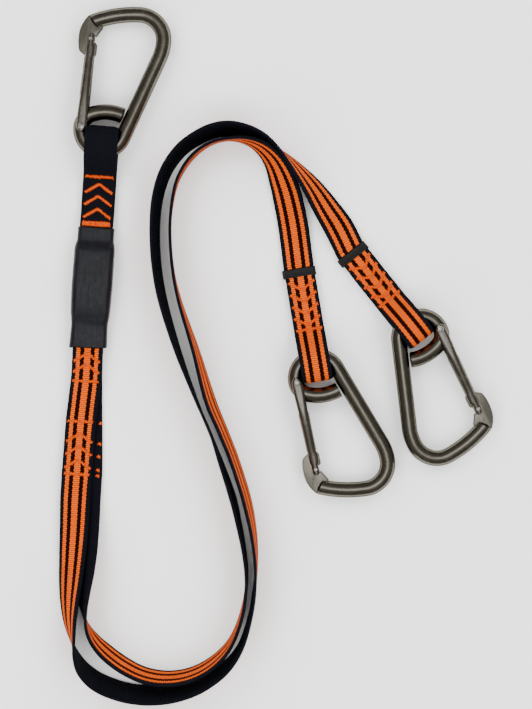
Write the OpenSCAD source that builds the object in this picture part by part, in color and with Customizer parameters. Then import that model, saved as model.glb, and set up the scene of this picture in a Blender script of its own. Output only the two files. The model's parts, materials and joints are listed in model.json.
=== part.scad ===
// Shock-absorbing lanyard: three snap hooks, a torn-web energy absorber in a sleeve and two
// striped webbing legs, lying on a floor at z = 0. Millimetres, +Z up, +Y towards the harness hook.

/* [Leg webbing] */
// Width of each striped leg
leg_w = 22.5; // [20:0.5:24]
// Thickness of each striped leg
leg_t = 2.2; // [1.8:0.1:2.3]

/* [Harness loop webbing] */
// Width of the loop that holds the harness hook
loop_w = 24.6; // [20:0.2:25]
// Thickness of the loop webbing
loop_t = 2.2; // [1.8:0.1:2.3]
// Width of every web where it is pinched through a hook's eye
neck_w = 19; // [16:0.5:19.4]

/* [Hooks] */
// Diameter of the hook's round bar
bar_d = 11.4; // [9:0.1:11.6]
// Radius of the eye, on the bar's centre line
eye_r = 16.1; // [15.9:0.1:17]
// Lean of the spine from the gate, in degrees
spine_lean = 18.5; // [17:0.5:20]
// Length of the straight part of the spine
spine_len = 65; // [54:0.5:80]
// Thickness of the flat nose that the gate closes over
nose_t = 5; // [3:0.1:5.4]

/* [Gates] */
// Length of the gate past its catch pin
gate_lap = 4.3; // [3:0.1:5]
// Width of the gate, across the hook
gate_w = 8.2; // [6.6:0.1:9]
// Depth of the gate's tube, through the hook
gate_depth = 9.4; // [8.2:0.1:10.4]
// Thickness of each ear that straddles the bar
ear_t = 1.6; // [1:0.1:2]
// Diameter of the rivet that the gate turns on
rivet_d = 3.4; // [2.6:0.1:4]
// Diameter of the catch pin across the gate's slotted tip
catch_d = 3; // [2:0.1:3.4]
// Diameter of the plunger inside the gate
plunger_d = 4.7; // [3.6:0.1:4.9]

/* [Absorber] */
// Length of the sleeve over the absorber
sleeve_len = 89; // [80:1:100]
// Wall of the sleeve
sleeve_wall = 0.85; // [0.5:0.05:1]
// Thickness of the tear web
tear_t = 1.3; // [0.8:0.1:1.5]
// Width of the tear web
tear_w = 23; // [18:0.5:24]

/* [Stitching] */
// Width of one row of thread
thread_w = 1.2; // [0.6:0.1:1.6]
// Height of the thread over the web
thread_proud = 0.35; // [0.1:0.05:0.6]

/* [Hidden] */

// Clearances
floor_gap = 0.2;      // web above the floor
rest_gap = 0.15;      // hook's far end above the floor
rivet_gap = 0.05;     // rivet in the gate's ears, on the radius
plunger_gap = 0.1;    // plunger in the gate's bore, on the radius
ear_gap = 0.5;        // ear beside the bar
slot_gap = 0.4;       // gate slot beside the nose
tip_gap = 0.3;        // plunger tip off the bar
band_gap = 0.15;      // label band round the web
over_gap = 9.2;       // front web over the bar's centre, for the swing
under_gap = 7.4;      // rear web under the bar's centre

// Derived hook sizes
bar_r = bar_d / 2;
pin_inset = 0.6;                        // rivet inboard of the bar's centre line
eye_x = eye_r - pin_inset;              // eye's centre from the rivet, along the hook's X
bar_z = under_gap + leg_t + floor_gap;  // height of the swing axis
slot_t = nose_t + 2 * slot_gap;
ear_in = bar_r + ear_gap;
ear_out = ear_in + ear_t;
curl_r = [11, 32];                      // bends of the curl that closes the eye
curl_a = [65, 43];
gate_floor = 23;                        // where the gate's tube starts, clear of the bar
bore_end = 49;
slot_reach = 14.2;                      // gate's slot, back from the catch pin

// The bar bends from the spine round to the nose in four arcs. The third is the nearly straight
// top of the head, with the radius that brings the bar's end beside the gate.
shoulder_r = 35;
corner_r = 18.5;
tuck_r = 9;
head_a = [22, 90, 21, 15];
bar_end_x = -0.28;
function spine_runs(top_r) = [
  [eye_r, 180 - spine_lean], [spine_len, 0],
  [shoulder_r, head_a[0]], [corner_r, head_a[1]], [top_r, head_a[2]], [tuck_r, head_a[3]]
];
function spine_end(top_r) = last_of([-pin_inset, 0, -90], spine_runs(top_r));
top_r = (bar_end_x - spine_end(0)[0]) / (spine_end(1)[0] - spine_end(0)[0]);
nose_y = spine_end(top_r)[1];           // bar's end, where the nose starts
catch_y = nose_y - 12.7;
gate_len = catch_y + gate_lap;

// Stations: each hook's swing axis in plan, the direction its web points, the hook's turn in its
// web, and whether it lies on its back
STATIONS = [
  [[-126.1, 149.5], 86, -2, 0],
  [[30.4, -2], -80.5, 2.8, 180],
  [[99, 24.4], -51.5, -13, 0]
];
HARNESS = 0;
LEFT = 1;
RIGHT = 2;

$fn = 64;
no_roll = 0;

// Everything moves by this, so that the middle of the base is the origin
plan_shift = [-2.1, 1.03, 0];

// ---------- vectors and curves ----------
function unit(v) = v / norm(v);
function along(a) = [cos(a), sin(a), 0];
function leftward(a) = [-sin(a), cos(a), 0];

// Catmull-Rom value and slope between b and c
function spline(a, b, c, d, k) =
  0.5 * (2 * b + (c - a) * k + (2 * a - 5 * b + 4 * c - d) * k * k + (3 * b - a - 3 * c + d) * k * k * k);
function slope(a, b, c, d, k) =
  0.5 * ((c - a) + 2 * (2 * a - 5 * b + 4 * c - d) * k + 3 * (3 * b - a - 3 * c + d) * k * k);
function at(list, i) = list[max(0, min(len(list) - 1, i))];

// ---------- webs ----------
// A web is a list of rings: [centre, direction across the web, half width]

// Rings along a route of [x, y, z, roll]: roll 0 lies flat with the stripes up
function route_rings(route, half, steps) = [
  for (i = [0 : len(route) - 2])
  for (j = [0 : steps - 1])
  let (
    k = j / steps,
    a = at(route, i - 1), b = route[i], c = route[i + 1], d = at(route, i + 2),
    p = spline(a, b, c, d, k),
    s = slope(a, b, c, d, k),
    h = atan2(s[1], s[0]),
    across = leftward(h) * cos(p[3]) + [0, 0, 1] * sin(p[3])
  )
  [[p[0], p[1], p[2]], across, half]
];

// Half width of a web at distance u past the swing axis: pinched to pass through the eye
function pinch(u, half) =
  let (neck = min(neck_w / 2, half))
  u < 1 ? half : u > 6 ? neck : half + (neck - half) * (u - 1) / 5;

// Rings of a web that comes over a hook's bar, folds in the eye and runs back under it.
// front and rear are [distance past the swing axis, height] points.
function fold_rings(station, front, rear, half, t) =
  let (
    h = station[1],
    origin = [station[0][0], station[0][1], 0],
    top = bar_z + over_gap + t / 2,
    low = bar_z - under_gap - t / 2,
    r = (top - low) / 2,
    turn_u = 8,
    over = concat(front, [
      [-22, low + t + 0.2], [-17.5, low + t + 2.6], [-12, low + t + 7.2], [-7, low + t + 12.2],
      [-2.5, top - 1.6], [2, top - 0.1], [turn_u, top]
    ]),
    flat = [for (p = over) [p[0], p[1], 0, 0]],
    bow = [for (a = [90 : -15 : -90]) [turn_u + r * cos(a), low + r + r * sin(a)]],
    upper = [
      for (i = [0 : len(flat) - 2])
      for (k = [0, 0.5])
      spline(at(flat, i - 1), flat[i], flat[i + 1], at(flat, i + 2), k)
    ],
    back = concat([[4, low], [0, low], [-10, low]], rear)
  )
  [
    for (p = concat(upper, bow, back))
    [origin + along(h) * p[0] + [0, 0, p[1]], leftward(h), pinch(p[0], half)]
  ];

module web(rings, t) {
  n = len(rings);
  points = [
    for (i = [0 : n - 1])
    let (
      ahead = unit(rings[min(n - 1, i + 1)][0] - rings[max(0, i - 1)][0]),
      face = unit(cross(ahead, rings[i][1])),
      side = rings[i][1] * rings[i][2]
    )
    each [
      rings[i][0] + side + face * t / 2, rings[i][0] - side + face * t / 2,
      rings[i][0] - side - face * t / 2, rings[i][0] + side - face * t / 2
    ]
  ];
  translate(plan_shift) polyhedron(points, tube_faces(n, 4), convexity = 10);
}

// Triangles of a tube of n rings with m points each, closed by a cap at each end
function tube_faces(n, m) = concat(
  [for (k = [1 : m - 2]) [0, k, k + 1]],
  [for (k = [1 : m - 2]) [(n - 1) * m, (n - 1) * m + k + 1, (n - 1) * m + k]],
  [
    for (i = [0 : n - 2])
    for (k = [0 : m - 1])
    let (a = i * m + k, b = i * m + (k + 1) % m)
    each [[a, a + m, b], [b, a + m, b + m]]
  ]
);

// ---------- routes, chosen by hand ----------
// Left leg: flat under the sleeve, up on edge at the bottom bend, over the top bend, then flat
LEFT_ROUTE = [
  [-134.8, 24, 6.35, 0], [-136.3, 3, 6.1, 0], [-137.6, -18, 4.6, 0], [-139.9, -37, 3.75, 0],
  [-142, -56, 3.75, 0], [-144.2, -85, 3.75, 0], [-145.6, -107, 4.6, 8], [-146.4, -129, 6.2, 16],
  [-147.4, -148, 7.6, 27], [-148.5, -165, 8.6, 37], [-149.4, -181, 9.7, 49], [-149.2, -196, 10.8, 63],
  [-147.3, -210, 11.6, 79], [-144.4, -222, 11.6, 96], [-138.2, -233.2, 10.9, 112],
  [-126, -242.8, 10.3, 121], [-106.3, -249.6, 10.2, 122], [-86.4, -251.1, 10.2, 122],
  [-68, -248.7, 10.6, 118], [-51, -242.4, 11, 112], [-35, -231, 11.4, 106], [-23.5, -215.4, 11.6, 98],
  [-16.4, -193.4, 11.7, 94], [-13.2, -173.5, 11.7, 92], [-12.3, -155, 11.7, 87], [-14, -133, 11.7, 81],
  [-19.1, -107.4, 11.5, 76], [-28.3, -78, 11.4, 75], [-37, -56, 11.4, 74], [-46.1, -33.8, 11.3, 72],
  [-56.8, 3, 11.5, 77], [-68.6, 39.7, 11.7, 83], [-73.8, 65.4, 11.7, 87], [-75.4, 95, 11.7, 86],
  [-72.1, 120.6, 11.7, 82], [-65.6, 136.4, 11.6, 80], [-56, 148, 11.6, 82], [-44.5, 155.4, 11.7, 86],
  [-31.3, 158.3, 11.7, 88], [-18, 156.7, 11.6, 80], [-7, 150.8, 11.2, 66], [1.4, 141.2, 10, 50],
  [7.3, 128, 7.4, 31], [11.6, 113.2, 4.6, 15], [15.6, 92.6, 2.2, 4]
];

// Right leg: black face up under the left leg, then the outer web of the top bend, then flat
RIGHT_ROUTE = [
  [-134.8, 24, 3.9, -180], [-136.2, 3, 3.6, -180], [-137, -18, 2.15, -180], [-137, -37, 1.35, -180],
  [-136.8, -60, 1.35, -180], [-137, -86, 1.35, -180], [-138, -107.4, 2.3, -175], [-138.5, -126, 3.8, -166],
  [-138.8, -143, 6.2, -153], [-139.1, -159, 8.6, -138], [-139.3, -173.5, 10.5, -120],
  [-138.9, -187, 11.4, -104], [-136.8, -199.4, 11.6, -90], [-131.3, -209.8, 11.4, -76],
  [-122.8, -219, 11, -67], [-110.7, -228.3, 10.9, -65], [-96, -235.8, 10.9, -66],
  [-80.5, -238.8, 11, -67], [-64.3, -237.2, 11.1, -69], [-49.6, -231, 11.3, -72],
  [-37, -220.6, 11.5, -77], [-28.4, -207.8, 11.6, -83], [-21.8, -188.2, 11.7, -87],
  [-19.2, -167.6, 11.7, -91], [-20.6, -148, 11.7, -93], [-24.6, -126, 11.7, -96],
  [-29.6, -105, 11.6, -98], [-38.2, -79.4, 11.7, -94], [-46.2, -57.4, 11.7, -88],
  [-56.2, -33.8, 11.7, -90], [-70, 3, 11.6, -97], [-80.9, 39.7, 11.5, -102], [-85.6, 67.6, 11.4, -103],
  [-86.6, 95, 11.4, -104], [-84.2, 117, 11.3, -106], [-78, 135.3, 11.2, -108], [-67.6, 149.9, 11.1, -110],
  [-55.2, 159, 11, -112], [-43.4, 164.3, 11, -113], [-31.3, 165.9, 11, -113], [-18.8, 163.8, 11.2, -110],
  [-8, 159.4, 11.5, -104], [0.9, 153.7, 11.7, -94], [9, 146.6, 11.7, -82], [19, 135.6, 11, -66],
  [29.9, 122, 9.3, -48], [40.2, 106.6, 6.6, -28], [49.4, 92.6, 3.6, -11]
];

// Where each leg's own loop starts, as [distance past the swing axis, height]
LEG_FRONT = [[-80, 1.35], [-70, 2.1], [-63, 2.45], [-57, 3.7], [-40, 3.75]];
LEG_REAR = [[-30, 1.3], [-54, 1.3]];
LOOP_FRONT = [[-72, 4.6], [-58, 4.6], [-52, 4.3], [-44, 3.75], [-32, 3.75]];
LOOP_REAR = [[-30, 1.3], [-46, 1.3], [-52, 1.7], [-58, 2.2], [-72, 2.2]];
route_steps = 2;

// ---------- frames ----------
// Swing axis at the origin on the floor, web pointing along +Y
module at_station(s) {
  translate(plan_shift) translate([s[0][0], s[0][1], 0]) rotate([0, 0, s[1] - 90]) children();
}

// A hook's own frame: origin on the rivet, +Y along the gate, +X towards the spine
module in_hook(s) {
  reach = eye_r + max([
    for (p = trace([-pin_inset, 0, -90], spine_runs(top_r)))
    sin(s[2]) * cos(s[3]) * (p[0] - eye_x) + cos(s[2]) * p[1]
  ]);
  tilt = asin((bar_z - bar_r - rest_gap) / reach);
  at_station(s)
    translate([0, 0, bar_z])
    rotate([-tilt, 0, 0])
    translate([0, eye_r, 0])
    rotate([0, 0, s[2]])
    rotate([0, s[3], 0])
    translate([-eye_x, 0, 0])
    children();
}

// ---------- hooks ----------
// A bar's path is a list of [x, y, heading]. A run adds an arc of radius r through a degrees,
// to the left when a is positive, or a straight of length r when a is 0.
function run_points(p, r, a, steps) = [
  for (k = [1 : steps])
  let (t = a * k / steps, side = sign(a), h = p[2])
  a == 0
    ? [p[0] + r * cos(h) * k / steps, p[1] + r * sin(h) * k / steps, h]
    : [
        p[0] - side * r * (sin(h) - sin(h + t)),
        p[1] + side * r * (cos(h) - cos(h + t)),
        h + t
      ]
];

// Where a list of [r, a] runs ends
function last_of(p, runs, i = 0) =
  i == len(runs) ? p : last_of(run_points(p, runs[i][0], runs[i][1], 1)[0], runs, i + 1);

// All the points of a list of [r, a] runs, one after another, with a ring every ring_a degrees
function trace(p, runs, i = 0) =
  i == len(runs) ? [p]
  : let (
      r = runs[i][0],
      a = runs[i][1],
      steps = a == 0 ? 1 : ceil(abs(a) / ring_a),
      q = run_points(p, r, a, steps)
    )
    concat([p], [for (k = [0 : 1 : steps - 2]) q[k]], trace(q[steps - 1], runs, i + 1));

ring_a = 10;
bar_sides = 24;

module hook_bar() {
  curl = trace([-pin_inset, 0, 90], [[curl_r[0], -curl_a[0]], [curl_r[1], -curl_a[1]]]);
  rest = trace([-pin_inset, 0, -90], spine_runs(top_r));
  path = concat(
    [for (i = [len(curl) - 1 : -1 : 1]) [curl[i][0], curl[i][1], curl[i][2] + 180]],
    rest
  );
  points = [
    for (p = path)
    for (k = [0 : bar_sides - 1])
    let (b = 360 * k / bar_sides)
    [p[0] - bar_r * cos(b) * sin(p[2]), p[1] + bar_r * cos(b) * cos(p[2]), bar_r * sin(b)]
  ];
  polyhedron(points, tube_faces(len(path), bar_sides), convexity = 10);
}

// Flat nose with the notch that the catch pin drops into. Its outline is measured from the notch.
module hook_nose() {
  notch_r = catch_d / 2 + 1;
  linear_extrude(nose_t, center = true)
    translate([0, catch_y])
    difference() {
      intersection() {
        translate([9.3, 0.8]) circle(19.3);
        polygon([
          [-12, -5.2], [-9.4, -8.6], [-6.4, -11.2], [-3, -12.4], [3.6, -12.4], [4.8, -11.2],
          [4.8, -3.6], [3.8, -2.4], [4.2, 3], [7.4, 9.3], [4, 14.3], [-2, 16.4], [-12, 10.8]
        ]);
      }
      translate([0.4, 0]) circle(notch_r);
      translate([0.4, -notch_r]) square([2 * notch_r, 2 * notch_r]);
    }
}

module hook_body(s) {
  color("#b9bab4")
    in_hook(s)
    difference() {
      union() {
        hook_bar();
        hook_nose();
      }
      cylinder(d = rivet_d, h = 2 * bar_d, center = true);
    }
}

// Side view of the gate: wide ears at the rivet, drawn in to the tube
module gate_side() {
  half = gate_depth / 2;
  polygon([
    [-gate_w, -ear_out], [26, -ear_out], [36, -half], [gate_len, -half],
    [gate_len, half], [36, half], [26, ear_out], [-gate_w, ear_out]
  ]);
}

module gate_plan() {
  circle(d = gate_w + 0.6);
  translate([-gate_w / 2, 0]) square([gate_w, gate_len - gate_w / 2]);
  translate([0, gate_len - gate_w / 2]) circle(d = gate_w);
}

module hook_gate(s) {
  color("#c6c7c0")
    in_hook(s)
    difference() {
      intersection() {
        linear_extrude(3 * ear_out, center = true) gate_plan();
        rotate([90, 0, 90]) linear_extrude(3 * gate_w, center = true) gate_side();
      }
      translate([-gate_w, -2 * gate_w, -ear_in]) cube([2 * gate_w, 2 * gate_w + gate_floor, 2 * ear_in]);
      translate([-gate_w, catch_y - slot_reach, -slot_t / 2]) cube([2 * gate_w, gate_len, slot_t]);
      translate([0, gate_floor - 1, 0]) rotate([-90, 0, 0]) cylinder(
        d = plunger_d + 2 * plunger_gap, h = bore_end - gate_floor + 1
      );
      cylinder(d = rivet_d + 2 * rivet_gap, h = 3 * ear_out, center = true);
      translate([0, catch_y, 0]) cylinder(d = catch_d, h = 3 * ear_out, center = true);
    }
}

module hook_pivot_rivet(s) {
  color("#d3d4ce")
    in_hook(s)
    union() {
      cylinder(d = rivet_d, h = 2 * ear_out + 0.2, center = true);
      for (side = [-1, 1])
        translate([0, 0, side * (ear_out + 0.45)]) cylinder(d = rivet_d + 1.2, h = 0.7, center = true);
    }
}

module hook_catch_pin(s) {
  color("#d3d4ce")
    in_hook(s)
    translate([0, catch_y, 0]) cylinder(d = catch_d, h = gate_depth, center = true);
}

// Where the plunger's round tip is centred so that it just clears the curl
tip_r = plunger_d / 2;
tip_y = sqrt(pow(curl_r[0] + bar_r + tip_r + tip_gap, 2) - pow(curl_r[0] - pin_inset, 2));
plunger_back = tip_y + 8;
wire_r = 0.3;
coil_r = tip_r + plunger_gap - wire_r - 0.4;
tail_r = coil_r - wire_r - 0.45;

module hook_plunger(s) {
  color("#9b9c96")
    in_hook(s)
    translate([0, tip_y, 0]) {
      sphere(r = tip_r);
      rotate([-90, 0, 0]) cylinder(r = tip_r, h = plunger_back - tip_y);
      rotate([-90, 0, 0]) cylinder(r = tail_r, h = plunger_back - tip_y + 9);
    }
}

// Coil spring behind the plunger, around its tail
module hook_spring(s) {
  turns = 9;
  per_turn = 12;
  start = plunger_back + wire_r + 0.1;
  rise = bore_end - 0.1 - wire_r - start;
  count = turns * per_turn;
  points = [
    for (i = [0 : count])
    let (a = 360 * i / per_turn, y = start + rise * i / count)
    each [
      for (b = [0 : 60 : 300])
      [(coil_r + wire_r * cos(b)) * cos(a), y + wire_r * sin(b), (coil_r + wire_r * cos(b)) * sin(a)]
    ]
  ];
  color("#8d8e88") in_hook(s) polyhedron(points, tube_faces(count + 1, 6), convexity = 10);
}

// ---------- stitching ----------
// Rows of thread: bars straight across, and chevrons whose tips point along +Y.
// z_at gives [y, low, high] at two places, and the rows follow the line between them.
module stitch_rows(bars, tips, half, rise, z_at, way = 1) {
  function low(y) = z_at[0][1] + (z_at[1][1] - z_at[0][1]) * (y - z_at[0][0]) / (z_at[1][0] - z_at[0][0]);
  function high(y) = z_at[0][2] + (z_at[1][2] - z_at[0][2]) * (y - z_at[0][0]) / (z_at[1][0] - z_at[0][0]);
  for (y = bars)
    translate([-half, y - thread_w / 2, low(y)]) cube([2 * half, thread_w, high(y) - low(y)]);
  arm = norm([half, rise]);
  for (y = tips)
    for (side = [0, 1])
      mirror([side, 0, 0])
        translate([0, y, low(y)])
        rotate([0, 0, -way * atan2(rise, half)])
        translate([-thread_w / 2, -thread_w / 2, 0])
        cube([arm + thread_w / 2, thread_w, high(y) - low(y)]);
}

web_low = floor_gap + 0.4;
web_high = 3.75 + leg_t / 2 + thread_proud;

module harness_loop_stitching() {
  color("#e8641b")
    at_station(STATIONS[HARNESS])
    stitch_rows([-20.8, -54.2], [-23.8, -33.6, -43.2], loop_w / 2 - 2, 7,
      [[-20, web_low, web_high], [-54, web_low + 0.4, web_high + 0.6]]);
}

module leg_hook_stitching(s) {
  color("#e8641b")
    at_station(s)
    stitch_rows([-20.5], [-23.6, -32.4, -41.2, -50], leg_w / 2 - 1.6, 6.4,
      [[-20, web_low, web_high], [-54, web_low, web_high]]);
}

// Both legs are sewn together below the sleeve, in two blocks
module upper_joint_stitching() {
  color("#e8641b")
    at_station(STATIONS[HARNESS])
    stitch_rows([-170], [-157.4, -149.4], leg_w / 2 - 1.6, 6.4,
      [[-146, 2.9, 7.5], [-168, 1.5, 6.15]], way = 1);
}

module lower_joint_stitching() {
  color("#e8641b")
    translate(plan_shift)
    translate([-142.9, -69, 0])
    rotate([0, 0, -3.8])
    stitch_rows([-19.6, 19.2], [10.4, 1, -9], leg_w / 2 - 2, 6.4,
      [[-20, web_low, web_high], [20, web_low, web_high]], way = 1);
}

// ---------- label bands ----------
module label_band(s) {
  inner_w = leg_w + 2 * band_gap;
  inner_h = leg_t + 2 * band_gap;
  wall = 0.9;
  centre_z = 2.45;
  length = 6;
  color("#232323")
    at_station(s)
    translate([0, -63, centre_z])
    rotate([90, 0, 0])
    linear_extrude(length, center = true)
    difference() {
      union() {
        square([inner_w + 2 * wall, inner_h + 2 * wall], center = true);
        translate([inner_w / 2 + wall, 0]) circle(d = inner_h + wall);
      }
      square([inner_w, inner_h], center = true);
    }
}

// ---------- absorber ----------
sleeve_top = -56.3;   // sleeve's upper end, past the harness hook's swing axis

// Inside of the sleeve: [distance from its top, half width, low z, high z]
SLEEVE = [
  [0, 12.9, 1.0, 7.5], [11, 13, 1.0, 7.6], [16, 14.2, 1.0, 9.6], [22, 14.6, 1.0, 10.8],
  [50, 14.5, 1.0, 10.8], [60, 14.2, 1.0, 10.6], [67, 13.4, 1.0, 9.6], [72, 13, 1.0, 8.4],
  [80, 13, 1.0, 8.1], [sleeve_len, 13, 1.0, 8.0]
];

// Points of a rounded box section, at distance s from the sleeve's top
function sleeve_ring(row, grow) =
  let (r = 2.4 + grow, w = row[1] + grow, low = row[2] - grow, high = row[3] + grow)
  [
    for (q = [[1, 1, 0], [-1, 1, 90], [-1, -1, 180], [1, -1, 270]])
    for (a = [0 : 22.5 : 90])
    [
      q[0] * (w - r) + r * cos(a + q[2]),
      sleeve_top - row[0],
      (q[1] > 0 ? high - r : low + r) + r * sin(a + q[2])
    ]
  ];

module absorber_sleeve() {
  n = len(SLEEVE);
  m = 20;
  points = concat(
    [for (row = SLEEVE) each sleeve_ring(row, sleeve_wall)],
    [for (row = SLEEVE) each sleeve_ring(row, 0)]
  );
  inner = n * m;
  faces = concat(
    [
      for (i = [0 : n - 2])
      for (k = [0 : m - 1])
      let (a = i * m + k, b = i * m + (k + 1) % m)
      each [[a, a + m, b], [b, a + m, b + m], [inner + a, inner + b, inner + a + m],
        [inner + b, inner + b + m, inner + a + m]]
    ],
    [
      for (k = [0 : m - 1])
      let (b = (k + 1) % m, e = (n - 1) * m)
      each [[k, b, inner + k], [b, inner + b, inner + k],
        [e + k, inner + e + k, e + b], [e + b, inner + e + k, inner + e + b]]
    ]
  );
  color("#1f2024") at_station(STATIONS[HARNESS]) polyhedron(points, faces, convexity = 10);
}

// The tear web lies in five passes, one over another, between the loop's tails and the legs
TEAR_PASSES = 5;
tear_pitch = 1.9;
tear_top = 9.6;
tear_near = 22;
tear_far = 64;

function tear_path() =
  let (
    r = tear_pitch / 2,
    passes = [
      for (i = [0 : TEAR_PASSES - 2])
      let (z = tear_top - i * tear_pitch, far = i % 2 == 0, s = far ? tear_far : tear_near)
      for (a = [0 : 30 : 180])
      [s + (far ? 1 : -1) * r * sin(a), z - r + r * cos(a)]
    ]
  )
  concat([[4, 6.5], [14, 7.2], [20, tear_top]], passes, [[66, 2], [76, 1.9], [86, 1.9]]);

module absorber_tear_webbing() {
  h = STATIONS[HARNESS][1];
  origin = [STATIONS[HARNESS][0][0], STATIONS[HARNESS][0][1], 0];
  color("#2b2c31")
    web([
      for (p = tear_path())
      [origin + along(h) * (sleeve_top - p[0]) + [0, 0, p[1]], leftward(h), tear_w / 2]
    ], tear_t);
}

module absorber_tear_stitching() {
  color("#d9d2c4")
    at_station(STATIONS[HARNESS])
    for (s = [26 : 6 : 62])
      translate([-tear_w / 2 + 2, sleeve_top - s - thread_w / 2, 1.6])
        cube([tear_w - 4, thread_w, tear_top - 1.3]);
}

// ---------- webs ----------
module absorber_loop_webbing() {
  color("#1b1c20") web(fold_rings(STATIONS[HARNESS], LOOP_FRONT, LOOP_REAR, loop_w / 2, loop_t), loop_t);
}

module leg_webbing(route, s) {
  rings = concat(
    route_rings(concat(route, [leg_start(s)]), leg_w / 2, route_steps),
    fold_rings(s, LEG_FRONT, LEG_REAR, leg_w / 2, leg_t)
  );
  web(rings, leg_t);
}

// The route's last point: the first point of the leg's own loop
function leg_start(s) =
  let (p = [s[0][0], s[0][1], 0] + along(s[1]) * LEG_FRONT[0][0])
  [p[0], p[1], LEG_FRONT[0][1], no_roll];

module left_leg_webbing() {
  color("#e06a22") leg_webbing(LEFT_ROUTE, STATIONS[LEFT]);
}

module right_leg_webbing() {
  color("#2a2a2e") leg_webbing(RIGHT_ROUTE, STATIONS[RIGHT]);
}

absorber_loop_webbing();
absorber_tear_webbing();
absorber_tear_stitching();
absorber_sleeve();
left_leg_webbing();
right_leg_webbing();
label_band(STATIONS[LEFT]);  // left_label_band
label_band(STATIONS[RIGHT]);  // right_label_band
harness_loop_stitching();
upper_joint_stitching();
lower_joint_stitching();
leg_hook_stitching(STATIONS[LEFT]);  // left_hook_stitching
leg_hook_stitching(STATIONS[RIGHT]);  // right_hook_stitching
hook_body(STATIONS[HARNESS]);  // harness_hook_body
hook_gate(STATIONS[HARNESS]);  // harness_hook_gate
hook_pivot_rivet(STATIONS[HARNESS]);  // harness_hook_pivot_rivet
hook_catch_pin(STATIONS[HARNESS]);  // harness_hook_catch_pin
hook_plunger(STATIONS[HARNESS]);  // harness_hook_plunger
hook_spring(STATIONS[HARNESS]);  // harness_hook_spring
hook_body(STATIONS[LEFT]);  // left_hook_body
hook_gate(STATIONS[LEFT]);  // left_hook_gate
hook_pivot_rivet(STATIONS[LEFT]);  // left_hook_pivot_rivet
hook_catch_pin(STATIONS[LEFT]);  // left_hook_catch_pin
hook_plunger(STATIONS[LEFT]);  // left_hook_plunger
hook_spring(STATIONS[LEFT]);  // left_hook_spring
hook_body(STATIONS[RIGHT]);  // right_hook_body
hook_gate(STATIONS[RIGHT]);  // right_hook_gate
hook_pivot_rivet(STATIONS[RIGHT]);  // right_hook_pivot_rivet
hook_catch_pin(STATIONS[RIGHT]);  // right_hook_catch_pin
hook_plunger(STATIONS[RIGHT]);  // right_hook_plunger
hook_spring(STATIONS[RIGHT]);  // right_hook_spring
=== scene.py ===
"""The looks of a shock-absorbing lanyard: two striped webbing legs, a sleeved absorber and three hooks.

Sizes are in millimetres, and meshes are made in metres. Two frames are used beside the world's own:
a station's frame has its origin on the floor under the bar that a web is folded round, +Y towards the
hook and +Z up; a hook's frame has its origin on the gate's rivet, +Y along the gate and +X towards
the spine.
"""

from __future__ import annotations

import json
import logging
import math
import random
from dataclasses import dataclass, field
from enum import Enum

import bmesh
import bpy
import numpy as np
from mathutils import Matrix, Vector
from mathutils.bvhtree import BVHTree

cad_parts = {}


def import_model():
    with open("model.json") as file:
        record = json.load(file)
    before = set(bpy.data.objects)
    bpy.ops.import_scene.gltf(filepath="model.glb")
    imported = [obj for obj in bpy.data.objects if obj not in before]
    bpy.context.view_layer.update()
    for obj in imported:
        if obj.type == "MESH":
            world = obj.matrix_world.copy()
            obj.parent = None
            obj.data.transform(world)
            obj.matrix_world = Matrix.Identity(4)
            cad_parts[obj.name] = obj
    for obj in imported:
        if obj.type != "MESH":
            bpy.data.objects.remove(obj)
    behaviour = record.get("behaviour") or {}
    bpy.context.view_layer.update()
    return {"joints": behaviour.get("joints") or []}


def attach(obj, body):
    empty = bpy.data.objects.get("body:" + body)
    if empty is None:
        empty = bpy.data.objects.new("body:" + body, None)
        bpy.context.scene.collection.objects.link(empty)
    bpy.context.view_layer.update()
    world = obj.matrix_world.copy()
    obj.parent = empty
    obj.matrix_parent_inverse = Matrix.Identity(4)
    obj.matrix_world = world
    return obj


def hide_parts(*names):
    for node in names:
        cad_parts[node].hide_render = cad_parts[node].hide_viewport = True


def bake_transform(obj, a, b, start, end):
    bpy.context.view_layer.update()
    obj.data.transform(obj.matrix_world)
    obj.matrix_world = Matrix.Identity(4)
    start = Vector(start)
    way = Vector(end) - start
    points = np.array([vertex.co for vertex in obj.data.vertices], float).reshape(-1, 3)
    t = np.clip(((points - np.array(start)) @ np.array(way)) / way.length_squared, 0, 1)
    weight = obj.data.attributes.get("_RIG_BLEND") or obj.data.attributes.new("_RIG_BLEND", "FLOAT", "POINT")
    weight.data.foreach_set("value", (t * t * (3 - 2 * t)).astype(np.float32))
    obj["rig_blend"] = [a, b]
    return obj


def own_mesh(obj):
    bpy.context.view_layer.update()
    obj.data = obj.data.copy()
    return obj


LOG = logging.getLogger("lanyard")
MM = 0.001
LEG_WIDTH = 22.5
LOOP_WIDTH = 24.6

# The whole lay is moved by this, so that the middle of its base is the origin
PLAN_SHIFT = np.array([-2.1, 1.03, 0.0])

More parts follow.
